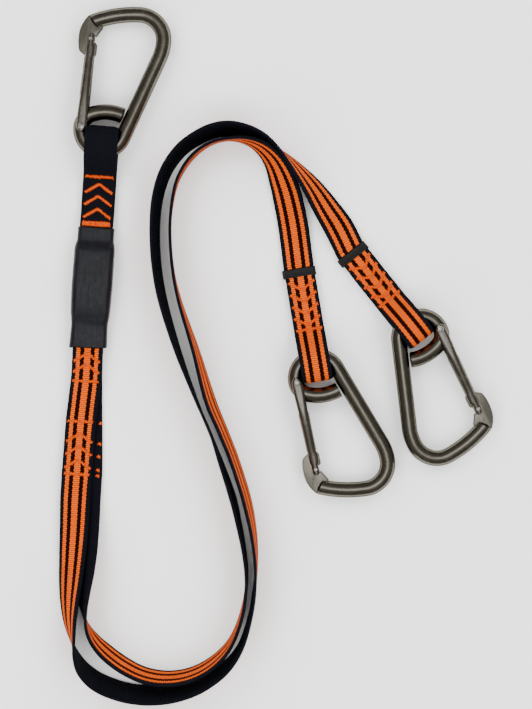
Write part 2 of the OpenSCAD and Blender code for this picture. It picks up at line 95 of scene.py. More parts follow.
# Left leg, as [x, y, z, roll]: roll 0 lies flat with the stripes up
LEFT_ROUTE = [
    [-134.8, 24, 6.35, 0], [-136.3, 3, 6.1, 0], [-137.6, -18, 4.6, 0], [-139.9, -37, 3.75, 0],
    [-142, -56, 3.75, 0], [-144.2, -85, 3.75, 0], [-145.6, -107, 4.6, 8], [-146.4, -129, 6.2, 16],
    [-147.4, -148, 7.6, 27], [-148.5, -165, 8.6, 37], [-149.4, -181, 9.7, 49], [-149.2, -196, 10.8, 63],
    [-147.3, -210, 11.6, 79], [-144.4, -222, 11.6, 96], [-138.2, -233.2, 10.9, 112],
    [-126, -242.8, 10.3, 121], [-106.3, -249.6, 10.2, 122], [-86.4, -251.1, 10.2, 122],
    [-68, -248.7, 10.6, 118], [-51, -242.4, 11, 112], [-35, -231, 11.4, 106], [-23.5, -215.4, 11.6, 98],
    [-16.4, -193.4, 11.7, 94], [-13.2, -173.5, 11.7, 92], [-12.3, -155, 11.7, 87], [-14, -133, 11.7, 81],
    [-19.1, -107.4, 11.5, 76], [-28.3, -78, 11.4, 75], [-37, -56, 11.4, 74], [-46.1, -33.8, 11.3, 72],
    [-56.8, 3, 11.5, 80], [-68.6, 39.7, 11.7, 87], [-73.8, 65.4, 11.7, 91], [-75.4, 95, 11.7, 92],
    [-72.1, 120.6, 11.7, 90], [-65.6, 136.4, 11.7, 88], [-56, 148, 11.7, 88], [-44.5, 155.4, 11.7, 90],
    [-31.3, 158.3, 11.7, 90], [-18, 156.7, 11.6, 80], [-7, 150.8, 11.2, 66], [1.4, 141.2, 10, 50],
    [7.3, 128, 7.4, 31], [11.6, 113.2, 4.6, 15], [15.6, 92.6, 2.2, 4],
]

# Right leg: black face up under the left leg, then the outer web of the top bend, then flat
RIGHT_ROUTE = [
    [-134.8, 24, 3.9, -180], [-136.2, 3, 3.6, -180], [-137, -18, 2.15, -180], [-137, -37, 1.35, -180],
    [-136.8, -60, 1.35, -180], [-137, -86, 1.35, -180], [-138, -107.4, 2.3, -175],
    [-138.5, -126, 3.8, -166], [-138.8, -143, 6.2, -153], [-139.1, -159, 8.6, -138],
    [-139.3, -173.5, 10.5, -120], [-138.9, -187, 11.4, -104], [-136.8, -199.4, 11.6, -90],
    [-131.3, -209.8, 11.4, -76], [-122.8, -219, 11, -67], [-110.7, -228.3, 10.9, -65],
    [-96, -235.8, 10.9, -66], [-80.5, -238.8, 11, -67], [-64.3, -237.2, 11.1, -69],
    [-49.6, -231, 11.3, -72], [-37, -220.6, 11.5, -77], [-28.4, -207.8, 11.6, -83],
    [-21.8, -188.2, 11.7, -87], [-19.2, -167.6, 11.7, -91], [-20.6, -148, 11.7, -93],
    [-24.6, -126, 11.7, -96], [-29.6, -105, 11.6, -98], [-38.2, -79.4, 11.7, -94],
    [-46.2, -57.4, 11.7, -88], [-56.2, -33.8, 11.7, -90], [-70, 3, 11.6, -97], [-80.9, 39.7, 11.5, -102],
    [-85.6, 67.6, 11.4, -103], [-86.6, 95, 11.4, -104], [-84.2, 117, 11.3, -106], [-78, 135.3, 11.2, -108],
    [-67.6, 149.9, 11.1, -110], [-55.2, 159, 11, -112], [-43.4, 164.3, 11, -113], [-31.3, 165.9, 11, -113],
    [-18.8, 163.8, 11.2, -110], [-8, 159.4, 11.5, -104], [0.9, 153.7, 11.7, -94], [9, 146.6, 11.7, -82],
    [19, 135.6, 11, -66], [29.9, 122, 9.3, -48], [40.2, 106.6, 6.6, -28], [49.4, 92.6, 3.6, -11],
]


# ---------------------------------------------------------------- numbers and curves
def catmull(rows: np.ndarray, steps: int) -> np.ndarray:
    """Rows of a smooth curve through the given rows.

    Args:
        rows: the points to pass through, one a row, with any number of columns.
        steps: how many rows the result has for each given one.

    Returns:
        The curve's rows, from the first given row to the last.
    """
    padded = np.vstack([rows[:1], rows, rows[-1:]])
    k = np.linspace(0, 1, steps, endpoint=False)[:, None]
    parts = []
    for a, b, c, d in zip(padded, padded[1:], padded[2:], padded[3:]):
        parts.append(0.5 * (2 * b + (c - a) * k + (2 * a - 5 * b + 4 * c - d) * k**2
                            + (3 * b - a - 3 * c + d) * k**3))
    parts.append(rows[-1:])
    return np.vstack(parts)


def lengths(points: np.ndarray) -> np.ndarray:
    """Distance along a line of points, from its first."""
    steps = np.linalg.norm(np.diff(points, axis=0), axis=1)
    return np.concatenate([[0.0], np.cumsum(steps)])


def unit(rows: np.ndarray) -> np.ndarray:
    """Each row, made one long."""
    return rows / np.linalg.norm(rows, axis=-1, keepdims=True)


def ease(value: float | np.ndarray, low: float, high: float) -> float | np.ndarray:
    """A smooth step from 0 at low to 1 at high."""
    k = np.clip((value - low) / (high - low), 0, 1)
    return k * k * (3 - 2 * k)


def wander(along: np.ndarray, seed: int, period: float) -> np.ndarray:
    """A slow, irregular wave between about -1 and 1.

    Args:
        along: where to read the wave.
        seed: picks the wave.
        period: its longest period, in the units of along.

    Returns:
        The wave's value at each place.
    """
    draw = random.Random(seed)
    total = np.zeros_like(along, dtype=float)
    for part in range(1, 5):
        total += np.sin(2 * math.pi * along * part / period + draw.uniform(0, 6.28)) / part
    return total / 2


# ---------------------------------------------------------------- meshes
@dataclass
class Shell:
    """A mesh that is put together from grids of points, in millimetres."""

    points: list[np.ndarray] = field(default_factory=list)
    faces: list[list[int]] = field(default_factory=list)
    uvs: list[float] = field(default_factory=list)
    slots: list[int] = field(default_factory=list)
    count: int = 0

    def grid(self, rings: np.ndarray, u: np.ndarray | None = None, v: np.ndarray | None = None,
             slots: list[int] | None = None, wrap: bool = False) -> None:
        """Adds a tube through rings of points.

        Args:
            rings: points as [ring, place round the ring, xyz]; seen along the tube, a ring runs clockwise.
            u: coordinate round the ring, with one value more than the ring has points.
            v: coordinate along the tube, one value a ring.
            slots: material slot of each strip round the ring.
            wrap: True joins the last ring to the first, and False closes each end with a cap.
        """
        n, m = rings.shape[:2]
        u = np.linspace(0, 1, m + 1) if u is None else u
        v = np.linspace(0, 1, n + 1) if v is None else v
        v = np.append(v, v[-1]) if len(v) == n else v
        slots = [0] * m if slots is None else slots
        base = self.count
        self.points.append(rings.reshape(-1, 3))
        self.count += n * m
        i, k = np.meshgrid(np.arange(n if wrap else n - 1), np.arange(m), indexing="ij")
        ahead, beside = (i + 1) % n, (k + 1) % m
        quads = np.stack([i * m + k, i * m + beside, ahead * m + beside, ahead * m + k], -1) + base
        self.faces += quads.reshape(-1, 4).tolist()
        corners = np.stack([u[k], v[i], u[k + 1], v[i], u[k + 1], v[i + 1], u[k], v[i + 1]], -1)
        self.uvs += corners.ravel().tolist()
        self.slots += np.broadcast_to(np.array(slots), (i.shape[0], m)).ravel().tolist()
        if not wrap:
            for face, slot in ((range(m - 1, -1, -1), slots[-1]), (range(m), slots[-1])):
                start = base if face[0] else base + (n - 1) * m
                self.faces.append([start + p for p in face])
                self.uvs += [u[0], v[0]] * m
                self.slots.append(slot)

    def build(self, name: str, materials: list[bpy.types.Material], place: Matrix | None = None,
              sharp: float = 40) -> bpy.types.Object:
        """Makes the object, in metres.

        Args:
            name: the piece's name.
            materials: its material slots.
            place: where its frame lies, in millimetres. None leaves it in the world's frame.
            sharp: edges that turn by more than this many degrees stay sharp.

        Returns:
            The object, linked to the scene.
        """
        points = np.vstack(self.points)
        mesh = bpy.data.meshes.new(name)
        mesh.from_pydata((points * MM).tolist(), [], self.faces)
        mesh.uv_layers.new(name="maker").data.foreach_set("uv", self.uvs)
        for material in materials:
            mesh.materials.append(material)
        mesh.polygons.foreach_set("material_index", self.slots)
        return finish_mesh(name, mesh, place, sharp)


def add_object(name: str, data: bpy.types.ID) -> bpy.types.Object:
    """Makes an object and links it to the scene."""
    made = bpy.data.objects.new(name, data)
    bpy.context.scene.collection.objects.link(made)
    return made


def add_solid(name: str, solid: bmesh.types.BMesh) -> bpy.types.Object:
    """Makes an object of an edited mesh, and frees the edited one."""
    data = bpy.data.meshes.new(name)
    solid.to_mesh(data)
    solid.free()
    return add_object(name, data)


def finish_mesh(name: str, mesh: bpy.types.Mesh, place: Matrix | None, sharp: float) -> bpy.types.Object:
    """Marks the mesh's own frame on its points, moves it to its place, smooths it and links it.

    Args:
        name: the piece's name.
        mesh: the mesh, in metres and in its own frame.
        place: where that frame lies, in millimetres, or None.
        sharp: edges that turn by more than this many degrees stay sharp.

    Returns:
        The object.
    """
    own = np.zeros(len(mesh.vertices) * 3, np.float32)
    mesh.vertices.foreach_get("co", own)
    mesh.attributes.new("own", "FLOAT_VECTOR", "POINT").data.foreach_set("vector", own)
    if place is not None:
        mesh.transform(Matrix.Translation(place.to_translation() * MM) @ place.to_3x3().to_4x4())
    mesh.validate()
    mesh.shade_smooth()
    mesh.set_sharp_from_angle(angle=math.radians(sharp))
    return add_object(name, mesh)


def sweep(path: np.ndarray, ring: np.ndarray, side: np.ndarray) -> np.ndarray:
    """Rings of a section carried along a path.

    Args:
        path: the path's points.
        ring: the section as [path point, place round the ring, (across, outward)].
        side: direction across the path at each point, square to it.

    Returns:
        Points as [path point, place round the ring, xyz].
    """
    ahead = unit(np.gradient(path, axis=0))
    out = unit(np.cross(ahead, side))
    return path[:, None] + ring[..., :1] * side[:, None] + ring[..., 1:] * out[:, None]


def circle(radii: np.ndarray, sides: int) -> np.ndarray:
    """A round section of the given radius at each path point, for sweep."""
    turn = np.linspace(0, 2 * math.pi, sides, endpoint=False)
    return radii[:, None, None] * np.stack([np.cos(turn), np.sin(turn)], -1)[None]


def lathe(profile: list[tuple[float, float]], sides: int = 32) -> Shell:
    """A solid turned about its own Z axis.

    Args:
        profile: (radius, height) from the bottom to the top, with radii above 0.
        sides: how many sides the solid has round the axis.

    Returns:
        The shell.
    """
    turn = np.linspace(0, 2 * math.pi, sides, endpoint=False)
    rings = [[(r * math.cos(a), r * math.sin(a), z) for a in turn] for r, z in profile]
    shell = Shell()
    shell.grid(np.array(rings))
    return shell


def rounded_rings(half_x: np.ndarray, half_z: np.ndarray, corner: np.ndarray,
                  per_corner: int) -> np.ndarray:
    """Rounded rectangles in the XZ plane, one for each row of sizes, running clockwise along +Y.

    Args:
        half_x: half widths.
        half_z: half heights.
        corner: corner radii.
        per_corner: points on each corner.

    Returns:
        Points as [row, place round the rectangle, (x, z)].
    """
    parts = []
    for quarter, (sx, sz) in enumerate(((1, 1), (-1, 1), (-1, -1), (1, -1))):
        a = math.pi / 2 * (quarter + np.linspace(0, 1, per_corner))
        x = (sx * (half_x - corner))[:, None] + corner[:, None] * np.cos(a)
        z = (sz * (half_z - corner))[:, None] + corner[:, None] * np.sin(a)
        parts.append(np.stack([x, z], -1))
    return np.concatenate(parts, 1)[:, ::-1]


def cut(target: bpy.types.Object, tool: bpy.types.Object, way: str) -> None:
    """Joins a tool to a target, or takes it away, and removes the tool.

    Args:
        target: the object whose mesh changes.
        tool: the object that is joined or taken away.
        way: "UNION" or "DIFFERENCE".
    """
    modifier = target.modifiers.new("cut", "BOOLEAN")
    modifier.operation = way
    modifier.object = tool
    modifier.solver = "EXACT"
    bpy.context.view_layer.update()
    made = bpy.data.meshes.new_from_object(target.evaluated_get(bpy.context.evaluated_depsgraph_get()))
    target.modifiers.clear()
    target.data = made
    bpy.data.objects.remove(tool)


# ---------------------------------------------------------------- finishes
class Graph:
    """Short ways to add shader nodes to a new material."""

    def __init__(self, name: str) -> None:
        """Makes a material with one principled shader."""
        self.material = bpy.data.materials.new(name)
        self.material.use_nodes = True
        self.tree = self.material.node_tree
        self.shader = self.tree.nodes["Principled BSDF"]

    def add(self, kind: str, *links: bpy.types.NodeSocket | float | None,
            **settings: object) -> bpy.types.Node:
        """Adds a node.

        Args:
            kind: the node's type, without its ShaderNode prefix.
            links: what goes into its inputs, in order; a socket is linked, a number is set, None is left.
            settings: the node's own properties.

        Returns:
            The node.
        """
        node = self.tree.nodes.new("ShaderNode" + kind)
        for key, value in settings.items():
            setattr(node, key, value)
        for socket, value in zip(node.inputs, links):
            if isinstance(value, bpy.types.NodeSocket):
                self.tree.links.new(value, socket)
            elif value is not None:
                socket.default_value = value
        return node

    def math(self, operation: str, *links: bpy.types.NodeSocket | float) -> bpy.types.NodeSocket:
        """The result of a math node."""
        return self.add("Math", *links, operation=operation).outputs[0]

    def own(self, scale: tuple[float, float, float]) -> bpy.types.NodeSocket:
        """The place in the piece's own frame, in millimetres, times a scale on each axis."""
        place = self.add("Attribute", attribute_name="own").outputs["Vector"]
        per_mm = tuple(s / MM for s in scale)
        return self.add("VectorMath", place, per_mm, operation="MULTIPLY").outputs[0]

    def noise(self, vector: bpy.types.NodeSocket, scale: float, detail: float = 3) -> bpy.types.NodeSocket:
        """A noise texture's value, from 0 to 1."""
        node = self.add("TexNoise", vector)
        node.inputs["Scale"].default_value = scale
        node.inputs["Detail"].default_value = detail
        return node.outputs["Fac"]

    def spread(self, value: bpy.types.NodeSocket, low: float, high: float) -> bpy.types.NodeSocket:
        """A noise value spread over the range from low to high."""
        node = self.add("MapRange", value, 0.3, 0.7, low, high)
        return node.outputs[0]

    def mix(self, factor: bpy.types.NodeSocket, a: object, b: object) -> bpy.types.NodeSocket:
        """A mix of two colours, each a socket or (red, green, blue)."""
        node = self.add("Mix", data_type="RGBA")
        for socket, value in zip((node.inputs[0], node.inputs[6], node.inputs[7]), (factor, a, b)):
            if isinstance(value, bpy.types.NodeSocket):
                self.tree.links.new(value, socket)
            else:
                socket.default_value = (*value, 1)
        return node.outputs[2]

    def shade(self, factor: bpy.types.NodeSocket, colour: object) -> bpy.types.NodeSocket:
        """A colour, darkened where the factor is below 1."""
        return self.mix(factor, (0, 0, 0), colour)

    def bump(self, height: bpy.types.NodeSocket, distance: float, strength: float = 1.0) -> None:
        """Links a bump of that height, in millimetres, to the shader."""
        node = self.add("Bump", strength, distance * MM)
        self.tree.links.new(height, node.inputs["Height"])
        self.tree.links.new(node.outputs[0], self.shader.inputs["Normal"])

    def link(self, value: bpy.types.NodeSocket, name: str) -> None:
        """Links a socket to one of the shader's inputs."""
        self.tree.links.new(value, self.shader.inputs[name])

    def set(self, **values: float) -> None:
        """Sets the shader's own inputs; an underscore in a name stands for a space."""
        for key, value in values.items():
            self.shader.inputs[key.replace("_", " ")].default_value = value


@dataclass(frozen=True)
class Weave:
    """Ribbed webbing, plain or with three stripes on its face."""

    name: str
    width: float
    rib: float = 1.5
    yarn: float = 0.75
    ground: tuple[float, float, float] = (0.0042, 0.0044, 0.0068)
    between: tuple[float, float, float] = (0.0075, 0.002, 0.002)
    stripe: tuple[float, float, float] = (0.58, 0.074, 0.0)
    striped: bool = False

    def make(self) -> bpy.types.Material:
        """Makes the material. Its map is (place across / width, place along / width)."""
        g = Graph(self.name)
        parts = g.add("SeparateXYZ", g.add("UVMap", uv_map="maker").outputs[0])
        across = g.math("MULTIPLY", g.math("SUBTRACT", parts.outputs[0], 0.5), self.width)
        along = g.math("MULTIPLY", parts.outputs[1], self.width)
        place = g.own((1, 1, 1))
        rib = g.math("ABSOLUTE", g.math("SINE", g.math("MULTIPLY", along, math.pi / self.rib)))
        jag = g.math("SINE", g.math("MULTIPLY", along, math.pi / self.rib))
        yarns = g.math("MULTIPLY", g.math("SINE", g.math("MULTIPLY", across, math.pi / self.yarn)), jag)
        blotch = g.noise(place, 0.09)
        fibre = g.noise(place, 2.6, 4)
        shade = g.math("MULTIPLY", g.spread(blotch, 0.86, 1.1), g.spread(fibre, 0.82, 1.12))
        # Painted shade: the colour darkens in the grooves between the ribs, where rib falls to 0, on top of
        # the yarns' own uneven tone from blotch and fibre
        shade = g.math("MULTIPLY", shade, g.math("ADD", g.math("MULTIPLY", rib, 1.0), 0.22))
        colour = g.shade(shade, self.ground)
        if self.striped:
            edge = g.math("ADD", g.math("ABSOLUTE", across), g.math("MULTIPLY", jag, 0.17))
            edge = g.math("ADD", edge, g.spread(fibre, -0.12, 0.12))
            ramp = g.add("ValToRGB", g.math("DIVIDE", edge, self.width / 2))
            ramp.color_ramp.interpolation = "CONSTANT"
            stops = ((0, self.stripe), (0.205, self.between), (0.475, self.stripe), (0.725, self.ground))
            while len(ramp.color_ramp.elements) < len(stops):
                ramp.color_ramp.elements.new(0.5)
            for element, (at, tone) in zip(ramp.color_ramp.elements, stops):
                element.position, element.color = at, (*tone, 1)
            colour = g.shade(shade, ramp.outputs[0])
        g.link(colour, "Base Color")
        g.link(g.spread(fibre, 0.72, 0.92), "Roughness")
        g.set(Specular_IOR_Level=0.05)
        height = g.math("ADD", g.math("MULTIPLY", yarns, 0.5), g.math("MULTIPLY", fibre, 0.6))
        g.bump(height, 0.12, 0.8)
        return g.material


@dataclass(frozen=True)
class Thread:
    """Bonded, twisted sewing thread."""

    name: str
    colour: tuple[float, float, float]
    twist: float = 0.8

    def make(self) -> bpy.types.Material:
        """Makes the material."""
        g = Graph(self.name)
        place = g.own((1, 1, 1))
        plies = g.add("TexWave", place, self.twist, 1.5, 2.0, bands_direction="DIAGONAL")
        tone = g.spread(g.noise(place, 0.5), 0.74, 1.12)
        g.link(g.shade(tone, self.colour), "Base Color")
        g.link(g.spread(g.noise(place, 1.5), 0.5, 0.72), "Roughness")
        g.set(Specular_IOR_Level=0.12)
        g.bump(plies.outputs["Fac"], 0.08, 0.7)
        return g.material


@dataclass(frozen=True)
class ShrinkPlastic:
    """Black plastic: a satin shrunk sleeve or a smoother moulded band."""

    name: str
    colour: tuple[float, float, float] = (0.0034, 0.0037, 0.005)
    rough: tuple[float, float] = (0.27, 0.4)
    grain: float = 0.05

    def make(self) -> bpy.types.Material:
        """Makes the material, with scuffs that are a little paler and rougher."""
        g = Graph(self.name)
        place = g.own((1, 1, 1))
        streaks = g.noise(g.own((0.6, 0.05, 0.6)), 1.0, 2)
        scuff = g.math("GREATER_THAN", g.noise(place, 0.8, 6), 0.71)
        tone = g.mix(g.spread(streaks, 0, 1), self.colour, tuple(c * 1.7 for c in self.colour))
        g.link(g.mix(scuff, tone, tuple(c * 3.2 for c in self.colour)), "Base Color")
        g.link(g.spread(g.noise(place, 0.25, 5), *self.rough), "Roughness")
        g.set(Specular_IOR_Level=0.3)
        g.bump(g.math("ADD", g.noise(place, 1.1, 5), g.math("MULTIPLY", streaks, 1.4)), self.grain * 4, 0.6)
        return g.material


@dataclass(frozen=True)
class Steel:
    """Stainless steel, from mirror-polished to finely brushed along the piece's own Y."""

    name: str
    colour: tuple[float, float, float] = (0.19, 0.178, 0.15)
    rough: tuple[float, float] = (0.2, 0.28)
    brushed: float = 0.0

    def make(self) -> bpy.types.Material:
        """Makes the material."""
        g = Graph(self.name)
        place = g.own((1, 1, 1))
        lines = g.noise(g.own((1, 0.06, 1)), 3.5, 4)
        smear = g.noise(place, 0.12, 4)
        dark = tuple(c * 0.8 for c in self.colour)
        g.link(g.mix(g.spread(smear, 0, 1), dark, self.colour), "Base Color")
        rough = g.math("ADD", g.spread(smear, *self.rough), g.math("MULTIPLY", lines, 0.12 * self.brushed))
        scratch = g.math("GREATER_THAN", g.noise(g.own((2.2, 0.12, 2.2)), 1.2, 2), 0.715)
        g.link(g.math("ADD", rough, g.math("MULTIPLY", scratch, 0.12)), "Roughness")
        g.set(Metallic=1.0, Specular_Tint=(0.06, 0.055, 0.05, 1))
        fine = g.math("MULTIPLY", lines, 0.03 + 0.2 * self.brushed)
        g.bump(g.math("ADD", g.noise(place, 0.16, 2), fine), 0.25, 0.35)
        return g.material


@dataclass(frozen=True)
class Pale:
    """The plain pale floor."""

    name: str = "pale_floor"
    colour: tuple[float, float, float] = (0.9, 0.9, 0.9)

    def make(self) -> bpy.types.Material:
        """Makes the material."""
        g = Graph(self.name)
        shade = g.spread(g.noise(g.add("NewGeometry").outputs["Position"], 3.0), 0.985, 1.0)
        g.link(g.shade(shade, self.colour), "Base Color")
        g.set(Roughness=0.85, Specular_IOR_Level=0.1)
        return g.material


class Finish(Enum):
    """The lanyard's finishes, each made once."""

    LEG_FACE = Weave("leg_face", LEG_WIDTH, striped=True)
    LEG_BACK = Weave("leg_back", LEG_WIDTH)
    LOOP = Weave("loop_weave", LOOP_WIDTH, rib=1.35)
    TEAR = Weave("tear_weave", 23, rib=1.2, ground=(0.03, 0.03, 0.034))
    THREAD = Thread("orange_thread", (0.5, 0.055, 0.0))
    INNER_THREAD = Thread("pale_thread", (0.62, 0.57, 0.48))
    SLEEVE = ShrinkPlastic("shrink_sleeve")
    LABEL = ShrinkPlastic("label_plastic", (0.003, 0.003, 0.0035), (0.32, 0.42), 0.02)
    BAR = Steel("polished_bar")
    GATE = Steel("gate_sheet", (0.22, 0.208, 0.182), (0.18, 0.28), 0.35)
    PIN = Steel("turned_pin", (0.4, 0.385, 0.36), (0.2, 0.3), 0.2)
    SPRING = Steel("spring_wire", (0.45, 0.44, 0.43), (0.25, 0.35), 0.4)

    @property
    def material(self) -> bpy.types.Material:
        """The material, made the first time it is asked for."""
        return bpy.data.materials.get(self.value.name) or self.value.make()


# ---------------------------------------------------------------- places
@dataclass(frozen=True)
class Station:
    """Where a web is folded round a hook's bar, read from the frame's swing joint."""

    place: Matrix
    bar_z: float

    @classmethod
    def read(cls, joints: dict[str, dict], name: str) -> "Station":
        """Reads a station.

        Args:
            joints: the frame's joints by name.
            name: the hook's name, such as "left".

        Returns:
            The station.
        """
        swing = joints[f"{name}_hook_swing"]
        x = Vector(swing["axis"]).normalized()
        z = Vector((0, 0, 1))
        y = z.cross(x)
        origin = Vector(swing["pos_m"]) / MM
        place = Matrix((x, y, z)).transposed().to_4x4()
        place.translation = (origin.x, origin.y, 0)
        return cls(place, origin.z)

    @property
    def along(self) -> np.ndarray:
        """The direction that the web points in."""
        return np.array(self.place.col[1][:3])

    @property
    def origin(self) -> np.ndarray:
        """The origin, in millimetres."""
        return np.array(self.place.translation)

    def lift(self, points: np.ndarray) -> np.ndarray:
        """Points of this frame, in the world's."""
        turn = np.array(self.place.to_3x3())
        return points @ turn.T + self.origin


def hook_place(joints: dict[str, dict], name: str) -> Matrix:
    """A hook's own frame, read from its gate's hinge and its plunger's slide.

    Args:
        joints: the frame's joints by name.
        name: the hook's name.

    Returns:
        The frame, in millimetres.
    """
    hinge, slide = joints[f"{name}_gate_hinge"], joints[f"{name}_plunger_slide"]
    z = -Vector(hinge["axis"]).normalized()
    y = Vector(slide["axis"]).normalized()
    place = Matrix((y.cross(z), y, z)).transposed().to_4x4()
    place.translation = Vector(hinge["pos_m"]) / MM
    return place


# ---------------------------------------------------------------- webs
@dataclass(frozen=True)
class Strip:
    """A length of web: evenly spaced places with its centre, direction across and half width."""

    centre: np.ndarray
    across: np.ndarray
    half: np.ndarray
    start: float = 0.0

    @classmethod
    def even(cls, centre: np.ndarray, across: np.ndarray, half: np.ndarray, spacing: float) -> "Strip":
        """Spaces a strip's places evenly.

        Args:
            centre: centres of uneven places.
            across: directions across there.
            half: half widths there.
            spacing: distance between the new places.

        Returns:
            The strip.
        """
        s = lengths(centre)
        at = np.arange(0, s[-1], spacing)

        def read(rows: np.ndarray) -> np.ndarray:
            """The rows at the new places."""
            return np.stack([np.interp(at, s, c) for c in rows.T], -1)

        return cls(read(centre), unit(read(across)), np.interp(at, s, half))

    def part(self, first: int, last: int, spacing: float) -> "Strip":
        """The places from first up to and with last."""
        end = last + 1
        return Strip(self.centre[first:end], self.across[first:end], self.half[first:end],
                     self.start + first * spacing)


@dataclass(frozen=True)
class Web:
    """A kind of webbing, and how its strips are meshed."""

    width: float
    thick: float
    face: Finish
    back: Finish
    rib: float = 1.5
    relief: float = 0.24
    per_rib: int = 4

    @property
    def spacing(self) -> float:
        """Distance between a strip's places."""
        return self.rib / self.per_rib

    def mesh(self, strip: Strip, seed: int) -> Shell:
        """Meshes a strip with its ribs and rounded selvedges.

        Args:
            strip: the strip.
            seed: picks its small irregularities.

        Returns:
            The shell, with slot 0 on the face and slot 1 on the back and edges.
        """
        n = len(strip.centre)
        along = strip.start + np.arange(n) * self.spacing
        flat, lip = 9, 4
        edge = 0.75
        across = np.linspace(1, -1, flat)
        bend = np.linspace(90, -90, lip + 2)[1:-1] * math.pi / 180
        x = np.concatenate([across, -1 - 0 * bend, across[::-1], 1 + 0 * bend])
        out = np.concatenate([0 * across, -np.cos(bend), 0 * across, np.cos(bend)]) * edge
        z = np.concatenate([1 + 0 * across, np.sin(bend), -1 + 0 * across, -np.sin(bend)]) * self.thick / 2
        rib = np.abs(np.sin(math.pi * along / self.rib)) - 0.6
        lift = self.relief * rib[:, None] * np.sign(z) * np.minimum(1, np.abs(z) / (self.thick / 2))
        half = strip.half + 0.12 * wander(along, seed, 60)
        ring = np.stack([x * (half[:, None] - edge) + out * (1 + 0.18 * rib[:, None]), z + lift], -1)
        u = np.concatenate([np.linspace(0, 1, flat), np.linspace(1, 1.1, lip + 2)[1:-1],
                            np.linspace(1.1, 2.1, flat), np.linspace(2.1, 2.2, lip + 2)[1:-1], [2.2]])
        margin = edge / self.width
        u = np.where(u <= 1, margin + u * (1 - 2 * margin), u)
        slots = [0] * (flat - 1) + [1] * (2 * lip + flat + 1)
        shell = Shell()
        shell.grid(sweep(strip.centre, ring, strip.across), u, along / self.width, slots)
        return shell

    def build(self, name: str, strip: Strip, seed: int) -> bpy.types.Object:
        """Builds the piece for a strip."""
        return self.mesh(strip, seed).build(name, [self.face.material, self.back.material], sharp=75)


@dataclass(frozen=True)
class EyeFold:
    """How a web comes over a hook's bar, folds in the eye and runs back under it."""

    station: Station
    web: Web
    front: tuple[tuple[float, float], ...]
    rear: tuple[tuple[float, float], ...]
    over_gap: float = 9.2
    under_gap: float = 7.4
    turn_u: float = 8.0
    neck: float = 19.0
    clear_low: float = 3.2
    clear_high: float = 14.4

    def profile(self) -> np.ndarray:
        """The fold's centre line as (distance past the bar, height)."""
        t = self.web.thick
        top = self.station.bar_z + self.over_gap + t / 2
        low = self.station.bar_z - self.under_gap - t / 2
        rise = [(-22, low + t + 0.2), (-17.5, low + t + 2.6), (-12, low + t + 7.2), (-7, low + t + 12.2),
                (-2.5, top - 1.6), (2, top - 0.1), (self.turn_u, top)]
        upper = catmull(np.array([*self.front, *rise]), 14)
        r = (top - low) / 2
        turn = np.radians(np.arange(87, -91, -3))
        bow = np.stack([self.turn_u + r * np.cos(turn), low + r + r * np.sin(turn)], -1)
        back = np.array([(4, low), (0, low), (-10, low), *self.rear])
        return np.vstack([upper, bow, back])

    def half(self, profile: np.ndarray) -> np.ndarray:
        """Half width along the profile: drawn in only where the web passes between the eye's sides."""
        u, z = profile.T
        above_low = ease(z, self.clear_low, self.clear_low + 1.8)
        passing = above_low * (1 - ease(z, self.clear_high - 2.2, self.clear_high))
        wide = self.web.width / 2
        return wide + (self.neck / 2 - wide) * passing * ease(u, 4, 9)

    def rows(self) -> tuple[np.ndarray, np.ndarray, np.ndarray]:
        """Centres, directions across and half widths along the fold, in the world."""
        profile = self.profile()
        local = np.column_stack([np.zeros(len(profile)), profile])
        across = -np.array(self.station.place.col[0][:3])
        return self.station.lift(local), np.tile(across, (len(profile), 1)), self.half(profile)


